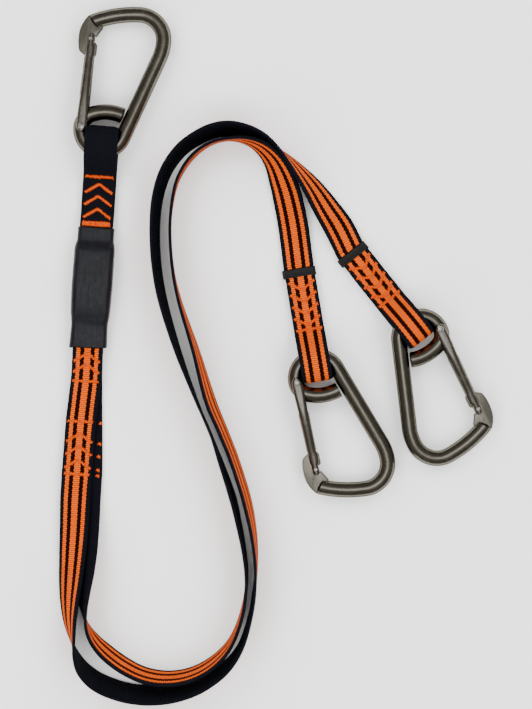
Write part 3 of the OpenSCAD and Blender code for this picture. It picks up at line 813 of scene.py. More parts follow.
@dataclass
class Leg:
    """One leg: a long web from the absorber to its hook, and the fold in the hook's eye."""

    side: str
    station: Station
    route: list[list[float]]
    seed: int
    web: Web = Web(LEG_WIDTH, 2.2, Finish.LEG_FACE, Finish.LEG_BACK)
    front: tuple[tuple[float, float], ...] = ((-67, 2.3), (-63, 2.45), (-57, 3.7), (-40, 3.75))
    rear: tuple[tuple[float, float], ...] = ((-30, 1.3), (-54, 1.3))
    seam_u: float = -20.5
    sleeve_end: float = -145.3
    pieces: dict[str, bpy.types.Object] = field(default_factory=dict)
    path: np.ndarray | None = None

    def strip(self) -> tuple[Strip, int]:
        """The whole leg's strip, and the place where its fold piece starts."""
        fold = EyeFold(self.station, self.web, self.front, self.rear)
        start = self.station.origin + self.station.along * self.front[0][0] + [0, 0, self.front[0][1]]
        shift = np.append(PLAN_SHIFT, 0)
        rows = catmull(np.vstack([np.array(self.route, float) + shift, np.append(start, 0)]), 12)[:-1]
        heading = unit(np.gradient(rows[:, :2], axis=0))
        left = np.column_stack([-heading[:, 1], heading[:, 0], np.zeros(len(rows))])
        roll = np.radians(rows[:, 3:])
        across = left * np.cos(roll) + np.array([0, 0, 1]) * np.sin(roll)
        centre, side, half = fold.rows()
        seam = len(rows) + int(np.argmax(fold.profile()[:, 0] > self.seam_u))
        centre = np.vstack([rows[:, :3], centre])
        half = np.concatenate([np.full(len(rows), self.web.width / 2), half])
        at = lengths(centre)[seam] / self.web.spacing
        return Strip.even(centre, np.vstack([across, side]), half, self.web.spacing), int(at)

    def build(self) -> None:
        """Builds the long web and its fold."""
        strip, seam = self.strip()
        spacing = self.web.spacing
        body = strip.part(0, seam, spacing)
        fold = strip.part(seam, len(strip.centre) - 1, spacing)
        self.pieces["web"] = self.web.build(f"{self.side}_leg_web", body, self.seed)
        self.pieces["fold"] = self.web.build(f"{self.side}_leg_eye_fold", fold, self.seed)
        self.path = body.centre[::8]

    def dress(self, harness: Station, extras: list[bpy.types.Object]) -> None:
        """Ties the leg to the frame.

        Args:
            harness: the harness hook's station, which the sleeve lies along.
            extras: the other pieces on this leg; not used.
        """
        web, fold = self.pieces["web"], self.pieces["fold"]
        node = f"{self.side}_leg_webbing"
        for piece in (web, fold):
            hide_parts(node)
        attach(web, "lanyard")
        bar = self.station.lift(np.array([[0, -16, 10], [0, 6, 10]])) * MM
        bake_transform(fold, "lanyard", f"{self.side}_hook", start=tuple(bar[0]), end=tuple(bar[1]))
        mouth = harness.lift(np.array([[0, self.sleeve_end, self.path[0][2]]]))[0]
        length = float(lengths(self.path)[-1]) * MM
        LOG.info("%s leg: %.0f mm of web", self.side, length / MM)


@dataclass
class HarnessLoop:
    """The black web through the harness hook's eye, with both tails running into the sleeve."""

    station: Station
    web: Web = Web(LOOP_WIDTH, 2.2, Finish.LOOP, Finish.LOOP, rib=1.35, relief=0.2)
    front: tuple[tuple[float, float], ...] = ((-72, 4.6), (-58, 4.6), (-52, 4.3), (-44, 3.75), (-32, 3.75))
    rear: tuple[tuple[float, float], ...] = ((-30, 1.3), (-46, 1.3), (-52, 1.7), (-58, 2.2), (-72, 2.2))

    def build(self) -> bpy.types.Object:
        """Builds the loop and lets its fold follow the hook."""
        fold = EyeFold(self.station, self.web, self.front, self.rear, clear_high=15.2)
        strip = Strip.even(*fold.rows(), self.web.spacing)
        piece = self.web.build("harness_loop_web", strip, 5)
        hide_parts("absorber_loop_webbing")
        bar = self.station.lift(np.array([[0, -16, 10], [0, 6, 10]])) * MM
        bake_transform(piece, "lanyard", "harness_hook", start=tuple(bar[0]), end=tuple(bar[1]))
        return piece


# ---------------------------------------------------------------- absorber
@dataclass
class Absorber:
    """The tear web, folded in five passes and sewn, inside its shrunk sleeve.

    A row of the sleeve is (distance from its top, half width, height of its upper side), a crease is
    (place across, width, depth), and a pucker is (distance from the top, width).
    """

    station: Station
    top: float = -56.3
    length: float = 89.0
    wall: float = 0.85
    rows: tuple[tuple[float, float, float], ...] = (
        (0, 12.7, 6.6), (2, 12.6, 6.7), (9.5, 12.7, 7.0), (12, 13.3, 7.9),
        (15, 13.9, 9.6), (19, 14.1, 10.6), (30, 14.2, 10.9), (48, 14.1, 10.8),
        (57, 13.9, 10.4), (63, 13.6, 9.7), (68, 13.1, 8.6), (73, 12.7, 7.7),
        (82, 12.9, 7.5), (89, 13.0, 7.7),
    )
    underside: float = 1.0
    bulge_starts: tuple[float, float] = (11, 20)
    bulge_ends: tuple[float, float] = (60, 70)
    puckers: tuple[tuple[float, float], ...] = ((12.5, 1.8), (69, 2.6))
    creases: tuple[tuple[float, float, float], ...] = ((-6.2, 0.8, 0.3), (2.8, 1.1, 0.24), (6.9, 0.7, 0.3))
    passes: int = 5
    pitch: float = 1.9
    tear_top: float = 9.6
    near: float = 22.0
    far: float = 64.0
    tear_width: float = 23.0
    tear_thick: float = 1.3

    def tear_path(self) -> np.ndarray:
        """The tear web's centre line as (distance from the sleeve's top, height)."""
        r = self.pitch / 2
        points = [(4, 6.0), (14, 7.0), (20, self.tear_top)]
        for turn in range(self.passes - 1):
            z = self.tear_top - turn * self.pitch
            at, way = (self.far, 1) if turn % 2 == 0 else (self.near, -1)
            for a in np.radians(np.arange(0, 181, 15)):
                points.append((at + way * r * math.sin(a), z - r + r * math.cos(a)))
        return np.array([*points, (66, 2), (76, 1.9), (86, 1.9)])

    def build_tear_web(self) -> bpy.types.Object:
        """Builds the folded tear web."""
        path = self.tear_path()
        local = np.column_stack([np.zeros(len(path)), self.top - path[:, 0], path[:, 1]])
        across = np.tile(-np.array(self.station.place.col[0][:3]), (len(path), 1))
        web = Web(self.tear_width, self.tear_thick, Finish.TEAR, Finish.TEAR, rib=1.2, relief=0.05)
        half = np.full(len(path), self.tear_width / 2)
        strip = Strip.even(self.station.lift(local), across, half, web.spacing)
        piece = web.build("absorber_tear_web", strip, 9)
        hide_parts("absorber_tear_webbing")
        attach(piece, "lanyard")
        return piece

    def build_tear_thread(self) -> bpy.types.Object:
        """Builds the rows of thread through the passes."""
        shell = Shell()
        for s in range(26, 63, 6):
            for x in np.linspace(-9, 9, 10):
                low, high = np.array([x, self.top - s, 1.7]), np.array([x + 0.5, self.top - s, 10.1])
                stitch(shell, low, high, 0.35)
        piece = shell.build("absorber_tear_thread", [Finish.INNER_THREAD.material], self.station.place)
        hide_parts("absorber_tear_stitching")
        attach(piece, "lanyard")
        return piece

    def skin(self, s: np.ndarray, grow: float) -> np.ndarray:
        """Rings of the sleeve's inner or outer skin.

        Args:
            s: distances from the sleeve's top.
            grow: how far the skin lies outside the inner one.

        Returns:
            Points as [ring, place round the ring, xyz] in the station's frame.
        """
        table = np.array(self.rows)
        smooth = catmull(table, 8)
        half, high = (np.interp(s, smooth[:, 0], smooth[:, c]) for c in (1, 2))
        low = self.underside
        half = half + grow + 0.16 * wander(s, 3, 46)
        bulge = ease(s, *self.bulge_starts) * (1 - ease(s, *self.bulge_ends))
        corner = 2.6 + 1.2 * bulge + grow
        section = rounded_rings(half, (high - low) / 2 + grow, corner, 22)
        x, z = section[..., 0], section[..., 1] + ((high + low) / 2)[:, None]
        upper = ease(section[..., 1], 0, 2)
        sag = np.exp(-((x / 10.5) ** 4))
        fold = sum(d * np.exp(-(((x - c - 0.4 * wander(s, k, 50)[:, None]) / w) ** 2))
                   for k, (c, w, d) in enumerate(self.creases))
        collar = 1 - bulge[:, None]
        pucker = sum(np.exp(-(((s - at) / w) ** 2)) for at, w in self.puckers)
        z = z - upper * (fold * (0.35 + 0.65 * collar) + 0.28 * sag * bulge[:, None])
        z = z + upper * 0.28 * pucker[:, None] * np.sin(x * 1.5 + 2 * np.sin(x * 0.37))
        ends = ease(s, 80, 89) + 1 - ease(s, 0, 6)
        slant = 0.055 * x * ease(s, 70, 89)[:, None] + 0.3 * np.sin(x * 0.5) * ends[:, None]
        y = self.top - s[:, None] + slant
        return np.stack([x, y, z], -1)

    def build_sleeve(self) -> bpy.types.Object:
        """Builds the shrunk sleeve, with a wall, soft folds and rolled ends."""
        rolled = 0.7
        body = np.linspace(rolled, self.length - rolled, 170)
        s = np.concatenate([[0, 0.25], body, [self.length - 0.25, self.length]])
        lip = np.minimum(1, np.minimum(s, self.length - s) / rolled)
        outer = self.skin(s, self.wall)
        inner = self.skin(s, 0.0)
        middle = (outer + inner) / 2
        outer = middle + (outer - middle) * np.sqrt(lip)[:, None, None]
        inner = (middle + (inner - middle) * np.sqrt(lip)[:, None, None])[::-1]
        shell = Shell()
        shell.grid(np.concatenate([outer[::-1], inner[::-1]]), wrap=True)
        piece = shell.build("absorber_shrink_sleeve", [Finish.SLEEVE.material], self.station.place, sharp=60)
        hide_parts("absorber_sleeve")
        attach(piece, "lanyard")
        return piece


# ---------------------------------------------------------------- stitching
def stitch(shell: Shell, a: np.ndarray, b: np.ndarray, radius: float) -> None:
    """Adds one stitch: a short plump length of thread from a to b.

    Args:
        shell: what it is added to.
        a: its first end, in millimetres.
        b: its second end.
        radius: the thread's radius.
    """
    k = np.array([0, 0.1, 0.35, 0.65, 0.9, 1])
    radii = radius * np.array([0.45, 0.85, 1.0, 1.0, 0.85, 0.45])
    path = a + (b - a) * k[:, None]
    ahead = (b - a) / np.linalg.norm(b - a)
    side = np.cross(ahead, (0, 0, 1) if abs(ahead[2]) < 0.9 else (1, 0, 0))
    side = np.tile(side / np.linalg.norm(side), (len(k), 1))
    shell.grid(sweep(path, circle(radii, 7), side), v=k * 3)


@dataclass(frozen=True)
class Block:
    """A block of stitching: bars straight across and chevrons, in its own frame, tips towards +Y.

    Where beyond is given, short rows also run between those two places across, on the web beside.
    """

    name: str
    node: str
    place: Matrix
    bars: tuple[float, ...]
    tips: tuple[float, ...]
    half: float
    rise: float
    seed: int
    wide: float = 1.9
    pitch: float = 0.6
    thread: float = 0.36
    highest_step: float = 2.2
    beyond: tuple[float, float] | None = None

    def lines(self) -> list[tuple[np.ndarray, np.ndarray]]:
        """Each row of the block as its two ends in plan."""
        found = [(np.array([-self.half, y]), np.array([self.half, y])) for y in self.bars]
        for y in self.tips:
            for way in (-1, 1):
                found.append((np.array([0, y]), np.array([way * self.half, y - self.rise])))
        if self.beyond:
            for y in (*self.bars, *(tip - self.rise for tip in self.tips)):
                found.append((np.array([self.beyond[0], y]), np.array([self.beyond[1], y - 0.8])))
        return found

    def row(self, shell: Shell, ends: tuple[np.ndarray, np.ndarray], tree: BVHTree, draw: random.Random,
            under: bool) -> None:
        """Adds one row: dense zigzag thread above, or plain stitches below.

        Args:
            shell: what the row is added to, in the world's frame.
            ends: the row's two ends in the block's plan.
            tree: the webs that the thread lies on.
            draw: draws the small irregularities.
            under: True for the row's underside.
        """
        a, b = ends
        long = float(np.linalg.norm(b - a))
        ahead = (b - a) / long
        beside = np.array([-ahead[1], ahead[0]])
        step = self.pitch * (2.4 if under else 1)
        count = int(long / step)
        swing = 0.12 if under else self.wide / 2
        below, above, overlap = -5, 60, 0.12
        corners = []
        for i in range(count + 1):
            way = 1 if i % 2 else -1
            reach = way * swing * draw.uniform(0.7, 1.25)
            plan = a + ahead * min(long, i * step + draw.uniform(-0.06, 0.06)) + beside * reach
            at = self.place @ Vector((plan[0], plan[1], 0))
            start = Vector((at.x, at.y, below if under else above))
            hit = tree.ray_cast(start * MM, Vector((0, 0, 1 if under else -1)), 0.1)[0]
            if hit is None:
                corners.append(None)
                continue
            proud = 0.02 if under else self.thread * draw.uniform(0.35, 0.7)
            corners.append(np.array([at.x, at.y, hit.z / MM + proud]))
        for first, second in zip(corners, corners[1:]):
            if first is None or second is None:
                continue
            if abs(first[2] - second[2]) < self.highest_step:
                stretch = (second - first) * overlap
                stitch(shell, first - stretch, second + stretch, self.thread * (0.5 if under else 1))

    def build(self, tree: BVHTree) -> bpy.types.Object:
        """Builds the block on the webs.

        Args:
            tree: the webs' faces, in metres.

        Returns:
            The piece.
        """
        draw = random.Random(self.seed)
        shell = Shell()
        for ends in self.lines():
            self.row(shell, ends, tree, draw, under=False)
        for ends in self.lines():
            self.row(shell, ends, tree, draw, under=True)
        piece = shell.build(self.name, [Finish.THREAD.material])
        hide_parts(self.node)
        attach(piece, "lanyard")
        return piece


# ---------------------------------------------------------------- label bands
@dataclass(frozen=True)
class LabelBand:
    """A moulded band round a leg, with a blank face and a small lug at one side."""

    side: str
    station: Station
    at: float = -63.0
    centre_z: float = 2.5
    slope: float = 6.0
    half_x: float = 11.4
    half_z: float = 1.25
    wall: float = 0.8
    length: float = 6.6
    lug: float = 1.3

    def build(self) -> bpy.types.Object:
        """Builds the band."""
        n = 18
        inside = rounded_rings(*(np.array([v]) for v in (self.half_x, self.half_z, 1.0)), n)[0]
        centred = inside / np.array([self.half_x, self.half_z])
        out = unit(np.sign(inside) * np.abs(centred) ** 5 + 1e-9)
        lug = self.lug * np.exp(-(((inside[:, 0] - self.half_x) / 1.1) ** 2))
        section = ((-0.5, 0.0), (-0.5, 0.55), (-0.46, 0.85), (-0.36, 1.0), (-0.3, 0.88), (0.3, 0.88),
                   (0.36, 1.0), (0.46, 0.85), (0.5, 0.55), (0.5, 0.0))
        rings = []
        for along, proud in section:
            grow = self.wall * proud + (lug * proud * (1 - abs(along)))
            plan = inside + out * grow[:, None]
            rings.append(np.column_stack([plan[:, 0], np.full(len(plan), along * self.length), plan[:, 1]]))
        shell = Shell()
        shell.grid(np.array(rings), wrap=True)
        lean = Matrix.Rotation(math.radians(self.slope), 4, "X")
        place = self.station.place @ (Matrix.Translation((0, self.at, self.centre_z)) @ lean)
        piece = shell.build(f"{self.side}_label_band_blank", [Finish.LABEL.material], place, 35)
        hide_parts(f"{self.side}_label_band")
        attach(piece, "lanyard")
        return piece


# ---------------------------------------------------------------- hooks
@dataclass(frozen=True)
class HookSizes:
    """The sizes that all three hooks share."""

    bar_r: float = 5.7
    eye_r: float = 16.1
    inset: float = 0.6
    spine_lean: float = 18.5
    spine_length: float = 65.0
    head: tuple[tuple[float, float], ...] = ((35, 22), (18.5, 90), (90, 21), (9, 15))
    curl: tuple[tuple[float, float], ...] = ((11, -65), (32, -43))
    nose_thick: float = 5.0
    catch_y: float = 65.23
    catch_r: float = 1.5
    ear_in: float = 6.2
    ear_out: float = 7.8
    gate_floor: float = 23.0
    gate_tip: float = 69.5
    gate_half_depth: float = 4.7
    gate_ear_r: float = 4.0
    gate_tip_r: float = 2.75
    gate_neck: float = 59.5
    slot_half: float = 2.9
    slot_start: float = 51.0
    bore_r: float = 2.45
    bore_end: float = 49.0
    rivet_r: float = 1.7
    plunger_r: float = 2.35
    plunger_gap: float = 0.3
    plunger_travel: float = 5.9
    spring_turns: int = 9


@dataclass
class Hook:
    """A stainless hook: bent bar with a pressed nose, rolled gate, rivet, catch pin, plunger and spring."""

    name: str
    place: Matrix
    sizes: HookSizes = HookSizes()

    @staticmethod
    def bends(start: tuple[float, float, float], runs: list[tuple[float, float]],
              step: float = 3) -> np.ndarray:
        """Points of a bar that is bent in one plane.

        Args:
            start: x, y and heading of its start.
            runs: (radius, degrees) of each bend, to the left when positive, or (length, 0).
            step: degrees from one point of a bend to the next.

        Returns:
            Rows of x and y.
        """
        x, y, h = start
        points = [(x, y)]
        for size, turn in runs:
            h0 = math.radians(h)
            if turn == 0:
                for k in np.linspace(0, 1, 9)[1:]:
                    points.append((x + size * k * math.cos(h0), y + size * k * math.sin(h0)))
            else:
                way = math.copysign(1, turn)
                for k in np.linspace(0, 1, math.ceil(abs(turn) / step) + 1)[1:]:
                    h1 = math.radians(h + turn * k)
                    points.append((x - way * size * (math.sin(h0) - math.sin(h1)),
                                   y + way * size * (math.cos(h0) - math.cos(h1))))
            x, y = points[-1]
            h += turn
        return np.array(points)

    def bar(self) -> Shell:
        """The bent round bar, pressed thinner where it runs into the nose."""
        z = self.sizes
        curl = self.bends((-z.inset, 0, 90), list(z.curl))[::-1]
        runs = [(z.eye_r, 180 - z.spine_lean), (z.spine_length, 0), *z.head]
        spine = self.bends((-z.inset, 0, -90), runs)
        plan = np.vstack([curl, spine[1:]])
        last = plan[-1] - plan[-2]
        last = last / np.linalg.norm(last)
        first = (plan[0] - plan[1]) / np.linalg.norm(plan[0] - plan[1])
        end = plan[-1] + last * np.array([[0.2], [0.4], [0.6], [0.9]])
        plan = np.vstack([plan[0], plan[0] - first * 0.35, plan[2:], end])
        path = np.column_stack([plan, np.zeros(len(plan))])
        s = lengths(path)
        radii = np.full(len(path), z.bar_r)
        radii[0] -= 0.4
        pressed = 1 - 0.57 * ease(s, s[-1] - 2.0, s[-1] - 0.5)
        section = circle(radii, 44)
        section[..., 1] *= pressed[:, None]
        ahead = unit(np.gradient(path, axis=0))
        side = unit(np.cross(np.tile([0, 0, 1.0], (len(path), 1)), ahead))
        shell = Shell()
        shell.grid(sweep(path, section, side), v=s / 20)
        return shell

    def nose_outline(self) -> list[tuple[float, float]]:
        """The flat nose's outline, with the notch for the catch pin."""
        corners = [(-3, -12.4, 1.4), (3.6, -12.4, 1.2), (4.8, -11.0, 1.0), (4.8, -3.7, 0.6), (3.6, -2.5, 0.5),
                   (0.4, -2.5, 2.4), (0.4, 2.5, 2.4), (4.1, 2.5, 0.6), (4.6, 4.0, 1.0), (8.0, 9.6, 1.0),
                   (3.5, 14.2, 1.5), (0.2, 18.2, 1.5)]
        back, forward, middle, reach_y = -9.4, 5.7, 0.5, 16.7
        heights = np.linspace(17.2, -9.5, 16)
        arc = [(back + forward * abs((y - middle) / reach_y) ** 2.4, y) for y in heights]
        outline: list[tuple[float, float]] = []
        ring = [Vector(c[:2]) for c in corners]
        for i, (x, y, r) in enumerate(corners):
            here = Vector((x, y))
            before = ring[i - 1] if i else Vector(arc[-1])
            after = ring[i + 1] if i + 1 < len(ring) else Vector(arc[0])
            a, b = (before - here), (after - here)
            reach = min(r, a.length * 0.45, b.length * 0.45)
            p, q = here + a.normalized() * reach, here + b.normalized() * reach
            for k in (0, 0.25, 0.5, 0.75, 1):
                at = p.lerp(here, k).lerp(here.lerp(q, k), k)
                outline.append((at.x, at.y + self.sizes.catch_y))
        return outline + [(x, y + self.sizes.catch_y) for x, y in arc]

    def nose(self) -> bpy.types.Object:
        """The flat nose plate, with rounded edges."""
        half = self.sizes.nose_thick / 2
        mesh = bmesh.new()
        bottom = [mesh.verts.new((x * MM, y * MM, -half * MM)) for x, y in self.nose_outline()]
        face = mesh.faces.new(bottom)
        face.normal_update()
        if face.normal.z > 0:
            face.normal_flip()
        top = bmesh.ops.extrude_face_region(mesh, geom=[face])["geom"]
        moved = [g for g in top if isinstance(g, bmesh.types.BMVert)]
        bmesh.ops.translate(mesh, verts=moved, vec=(0, 0, 2 * half * MM))
        rims = [e for e in mesh.edges if abs(e.verts[0].co.z - e.verts[1].co.z) < 1e-7]
        bmesh.ops.bevel(mesh, geom=rims, offset=0.55 * MM, segments=3, profile=0.6, affect="EDGES")
        bmesh.ops.recalc_face_normals(mesh, faces=mesh.faces)
        return add_solid("nose", mesh)

    def tie(self, piece: bpy.types.Object, node: str, body: str) -> bpy.types.Object:
        """Stands a piece for a node, on a body."""
        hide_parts(f"{self.name}_hook_{node}")
        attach(piece, f"{self.name}_{body}")
        return piece

    def settle(self, rough: bpy.types.Object, name: str, material: bpy.types.Material,
               sharp: float) -> bpy.types.Object:
        """Makes the finished piece of a mesh that was cut in the hook's own frame.

        Args:
            rough: the cut object.
            name: the piece's name.
            material: its material.
            sharp: edges that turn by more than this many degrees stay sharp.

        Returns:
            The piece, in its place.
        """
        mesh = rough.data.copy()
        bpy.data.objects.remove(rough)
        mesh.materials.clear()
        mesh.materials.append(material)
        for old in [a.name for a in mesh.attributes if a.name in ("own", "sharp_edge", "sharp_face")]:
            mesh.attributes.remove(mesh.attributes[old])
        return finish_mesh(name, mesh, self.place, sharp)

    def build_body(self) -> bpy.types.Object:
        """Builds the bar with its nose."""
        rough = self.bar().build("bar", [])
        cut(rough, self.nose(), "UNION")
        piece = self.settle(rough, f"{self.name}_hook_bar", Finish.BAR.material, 38)
        return self.tie(piece, "body", "hook")

    def gate_shell(self) -> Shell:
        """The gate's outside: ears that straddle the bar, drawn in to a rolled tube with a stepped tip."""
        z = self.sizes
        ear, tip, neck = z.gate_ear_r, z.gate_tip_r, z.gate_neck
        taper, swell, step_in = 0.35, 0.35, 0.95
        start = ear * np.sin(np.radians(np.linspace(-88, 0, 12)))
        tube = np.linspace(1, z.gate_tip - tip, 90)
        end = z.gate_tip - tip + tip * np.sin(np.radians(np.linspace(8, 86, 9)))
        y = np.concatenate([start, tube, end])
        half = ear - taper * ease(y, 8, 50)
        shoulder = ease(y, z.slot_start + 1.4, z.slot_start + 2.6) * (1 - ease(y, neck, neck + 2))
        half = half + swell * shoulder - step_in * ease(y, neck, neck + 2.5)
        half = np.where(y < 0, np.sqrt(np.maximum(ear**2 - y**2, 0.01)), half)
        closing = np.sqrt(np.maximum(tip**2 - np.maximum(y - (z.gate_tip - tip), 0) ** 2, 0.01))
        half = np.minimum(half, np.where(y > z.gate_tip - tip, closing, 9))
        depth = z.ear_out - (z.ear_out - z.gate_half_depth) * ease(y, z.gate_floor - 2, 62)
        corner = np.minimum(half * 0.98, 2.3 + 1.3 * ease(y, 6, 30))
        middle = swell * shoulder
        section = rounded_rings(half, depth, corner, 8)
        rings = np.stack([section[..., 0] + middle[:, None], np.repeat(y[:, None], section.shape[1], 1),
                          section[..., 1]], -1)
        shell = Shell()
        shell.grid(rings)
        return shell

    def build_gate(self) -> bpy.types.Object:
        """Builds the gate and cuts its ears' gap, its slot and its bore."""
        z = self.sizes
        rough = self.gate_shell().build("gate", [])
        for low, high in (((-9, -12, -z.ear_in), (9, z.gate_floor, z.ear_in)),
                          ((-9, z.slot_start, -z.slot_half), (9, 80, z.slot_half))):
            cut(rough, block(low, high), "DIFFERENCE")
        bore = lathe([(z.bore_r, z.gate_floor - 1), (z.bore_r, z.bore_end)], 40)
        tool = bore.build("bore", [], Matrix.Rotation(math.radians(-90), 4, "X"))
        cut(rough, tool, "DIFFERENCE")
        piece = self.settle(rough, f"{self.name}_hook_gate_tube", Finish.GATE.material, 35)
        return self.tie(piece, "gate", "gate")

    def build_pins(self) -> None:
        """Builds the rivet and the catch pin."""
        z = self.sizes
        r, out = z.rivet_r, z.ear_out
        head = [(r + 0.62, out + 0.02), (r + 0.62, out + 0.3), (r + 0.35, out + 0.62), (r - 0.3, out + 0.76),
                (0.2, out + 0.78)]
        rivet = lathe([(a, -b) for a, b in reversed(head)] + [(r, -out + 0.05), (r, out - 0.05)] + head, 40)
        piece = rivet.build(f"{self.name}_hook_rivet", [Finish.PIN.material], self.place, 30)
        self.tie(piece, "pivot_rivet", "hook")
        r, out = z.catch_r, z.gate_half_depth
        bevel = 0.35
        pin = lathe([(0.3, -out), (r - bevel, -out), (r, -out + bevel), (r, out - bevel), (r - bevel, out),
                     (0.3, out)])
        where = self.place @ Matrix.Translation((0, z.catch_y, 0))
        piece = pin.build(f"{self.name}_hook_catch", [Finish.PIN.material], where, 30)
        self.tie(piece, "catch_pin", "gate")

    def build_inside(self) -> None:
        """Builds the plunger and its spring, which push the gate shut."""
        z = self.sizes
        reach = z.curl[0][0] + z.bar_r + z.plunger_r + z.plunger_gap
        tip_y = math.sqrt(reach**2 - (z.curl[0][0] - z.inset) ** 2)
        back, tail = 8.0, 17.0
        r = z.plunger_r
        dome = [(r * math.cos(a), r * math.sin(a)) for a in np.radians(np.arange(-85, 1, 12))]
        profile = dome + [(r, back - 0.3), (r - 0.3, back), (1.0, back), (1.0, tail - 0.2), (0.8, tail)]
        along_y = Matrix.Translation((0, tip_y, 0)) @ Matrix.Rotation(math.radians(-90), 4, "X")
        where = self.place @ along_y
        piece = lathe(profile).build(f"{self.name}_hook_plunger_rod", [Finish.PIN.material], where, 30)
        self.tie(piece, "plunger", "plunger")
        wire, coil = 0.3, 1.75
        start = tip_y + back + wire + 0.1
        turn = np.linspace(0, 2 * math.pi * z.spring_turns, 28 * z.spring_turns)
        rise = np.linspace(start, z.bore_end - 0.1 - wire, len(turn))
        path = np.column_stack([coil * np.cos(turn), rise, coil * np.sin(turn)])
        side = np.column_stack([np.cos(turn), 0 * turn, np.sin(turn)])
        shell = Shell()
        shell.grid(sweep(path, circle(np.full(len(path), wire), 10), side))
        piece = shell.build(f"{self.name}_hook_coil_spring", [Finish.SPRING.material], self.place)
        self.tie(piece, "spring", "gate")
        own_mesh(piece)

    def build(self) -> None:
        """Builds the whole hook."""
        self.build_body()
        self.build_gate()
        self.build_pins()
        self.build_inside()
        LOG.info("%s hook built", self.name)


def block(low: tuple[float, float, float], high: tuple[float, float, float]) -> bpy.types.Object:
    """A plain cutting tool between two corners, in millimetres."""
    mesh = bmesh.new()
    bmesh.ops.create_cube(mesh, size=1)
    for vert in mesh.verts:
        vert.co = [(lo if c < 0 else hi) * MM for c, lo, hi in zip(vert.co, low, high)]
    return add_solid("tool", mesh)


# ---------------------------------------------------------------- surroundings
@dataclass(frozen=True)
class Studio:
    """The floor, the soft light and the camera straight above the lay."""

    distance: float = 2.0
    focus_height: float = 0.012
    seen_height: float = 0.5213
    aim: tuple[float, float] = (-0.0069, 0.0007)
    floor_half: float = 3.0
    soft_side: float = 1.6
    soft_reach: float = 1.75
    soft_height: float = 1.3
    soft_power: float = 58.0
    over_height: float = 2.4
    overhead: tuple[tuple[str, float, float], ...] = (("wide_panel", 3.0, 11.0), ("small_panel", 0.9, 6.0))
    sky: tuple[float, float, float] = (0.24, 0.225, 0.2)

    def camera(self) -> None:
        """Makes the camera."""
        data = bpy.data.cameras.new("camera")
        data.sensor_width = 36
        data.lens = data.sensor_width * self.distance / self.seen_height
        data.clip_start, data.clip_end = 0.01, 20
        camera = add_object("camera", data)
        camera.location = (*self.aim, self.focus_height + self.distance)
        bpy.context.scene.camera = camera

    def floor(self) -> None:
        """Makes the floor."""
        h = self.floor_half
        mesh = bpy.data.meshes.new("floor")
        mesh.from_pydata([(-h, -h, 0), (h, -h, 0), (h, h, 0), (-h, h, 0)], [], [(0, 1, 2, 3)])
        mesh.materials.append(Pale().make())
        add_object("floor", mesh)

    def light(self) -> None:
        """Makes four soft lights round the lay, two panels over it, and a dim warm sky."""
        for i in range(4):
            turn = math.radians(45 + 90 * i)
            data = bpy.data.lights.new(f"soft_{i}", "AREA")
            data.shape = "SQUARE"
            data.size = self.soft_side
            data.energy = self.soft_power
            lamp = add_object(f"soft_{i}", data)
            around = (self.soft_reach * math.cos(turn), self.soft_reach * math.sin(turn))
            lamp.location = (*around, self.soft_height)
            lamp.visible_glossy = False
            lamp.rotation_euler = (-lamp.location).to_track_quat("-Z", "Y").to_euler()
        # The wider panel hangs above the smaller one
        for name, side, power in self.overhead:
            data = bpy.data.lights.new(name, "AREA")
            data.size = side
            data.energy = power
            lamp = add_object(name, data)
            lamp.location = (*self.aim, self.over_height + side / 10)
        world = bpy.data.worlds.new("sky")
        world.use_nodes = True
        world.node_tree.nodes["Background"].inputs["Color"].default_value = (*self.sky, 1)
        bpy.context.scene.world = world

    def build(self) -> None:
        """Makes the surroundings."""
        self.camera()
        self.floor()
        self.light()


def web_tree(webs: list[bpy.types.Object]) -> BVHTree:
    """The faces of several webs as one tree for casting rays.

    Args:
        webs: the webs' pieces.

    Returns:
        The tree, in metres.
    """
    points: list[Vector] = []
    faces: list[list[int]] = []
    for web in webs:
        base = len(points)
        points += [v.co.copy() for v in web.data.vertices]
        faces += [[base + i for i in p.vertices] for p in web.data.polygons]
    return BVHTree.FromPolygons(points, faces)


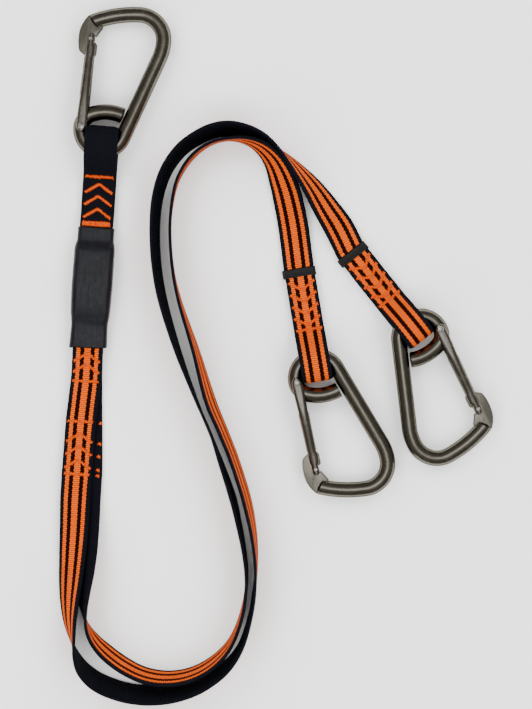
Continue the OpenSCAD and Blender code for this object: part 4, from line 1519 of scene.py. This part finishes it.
def stitch_blocks(stations: dict[str, Station]) -> list[Block]:
    """The five blocks of stitching, which hold the webs together."""
    leg, loop = LEG_WIDTH / 2, LOOP_WIDTH / 2
    harness = stations["harness"].place
    lower = Matrix.Translation(Vector(PLAN_SHIFT) + Vector((-142.9, -69, 0)))
    lower = lower @ Matrix.Rotation(math.radians(-3.8), 4, "Z")
    blocks = [
        Block("harness_loop_thread", "harness_loop_stitching", harness, (-19.0, -52.8, -54.5),
              (-24.1, -33.1, -42.5), loop - 1.9, 7, 11),
        Block("upper_joint_thread", "upper_joint_stitching", harness, (-170,), (-157.4, -149.4),
              leg - 1.6, 6.4, 12),
        Block("lower_joint_thread", "lower_joint_stitching", lower, (-19.6, 19.2), (10.4, 1, -9),
              leg - 1.7, 6.4, 13, beyond=(13.9, 16.6)),
    ]
    for seed, side in ((14, "left"), (15, "right")):
        place = stations[side].place
        blocks.append(Block(f"{side}_hook_thread", f"{side}_hook_stitching", place, (-20.5,),
                            (-23.6, -32.4, -41.2, -50), leg - 1.6, 6.4, seed))
    return blocks


def main() -> None:
    """Builds the lanyard's looks in order."""
    logging.basicConfig(level=logging.INFO, format="%(name)s: %(message)s")
    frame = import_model()
    joints = {joint["name"]: joint for joint in frame["joints"]}
    stations = {name: Station.read(joints, name) for name in ("harness", "left", "right")}

    Studio().build()
    legs = [Leg("left", stations["left"], LEFT_ROUTE, 21), Leg("right", stations["right"], RIGHT_ROUTE, 34)]
    for leg in legs:
        leg.build()
    loop = HarnessLoop(stations["harness"]).build()
    bands = {side: LabelBand(side, stations[side]).build() for side in ("left", "right")}
    tree = web_tree([loop] + [piece for leg in legs for piece in leg.pieces.values()])
    threads = {made.name: made for made in (b.build(tree) for b in stitch_blocks(stations))}
    for leg in legs:
        leg.dress(stations["harness"], [bands[leg.side], threads[f"{leg.side}_hook_thread"]])

    absorber = Absorber(stations["harness"])
    absorber.build_tear_web()
    absorber.build_tear_thread()
    absorber.build_sleeve()
    for name in stations:
        Hook(name, hook_place(joints, name)).build()


if __name__ == "__main__":
    main()
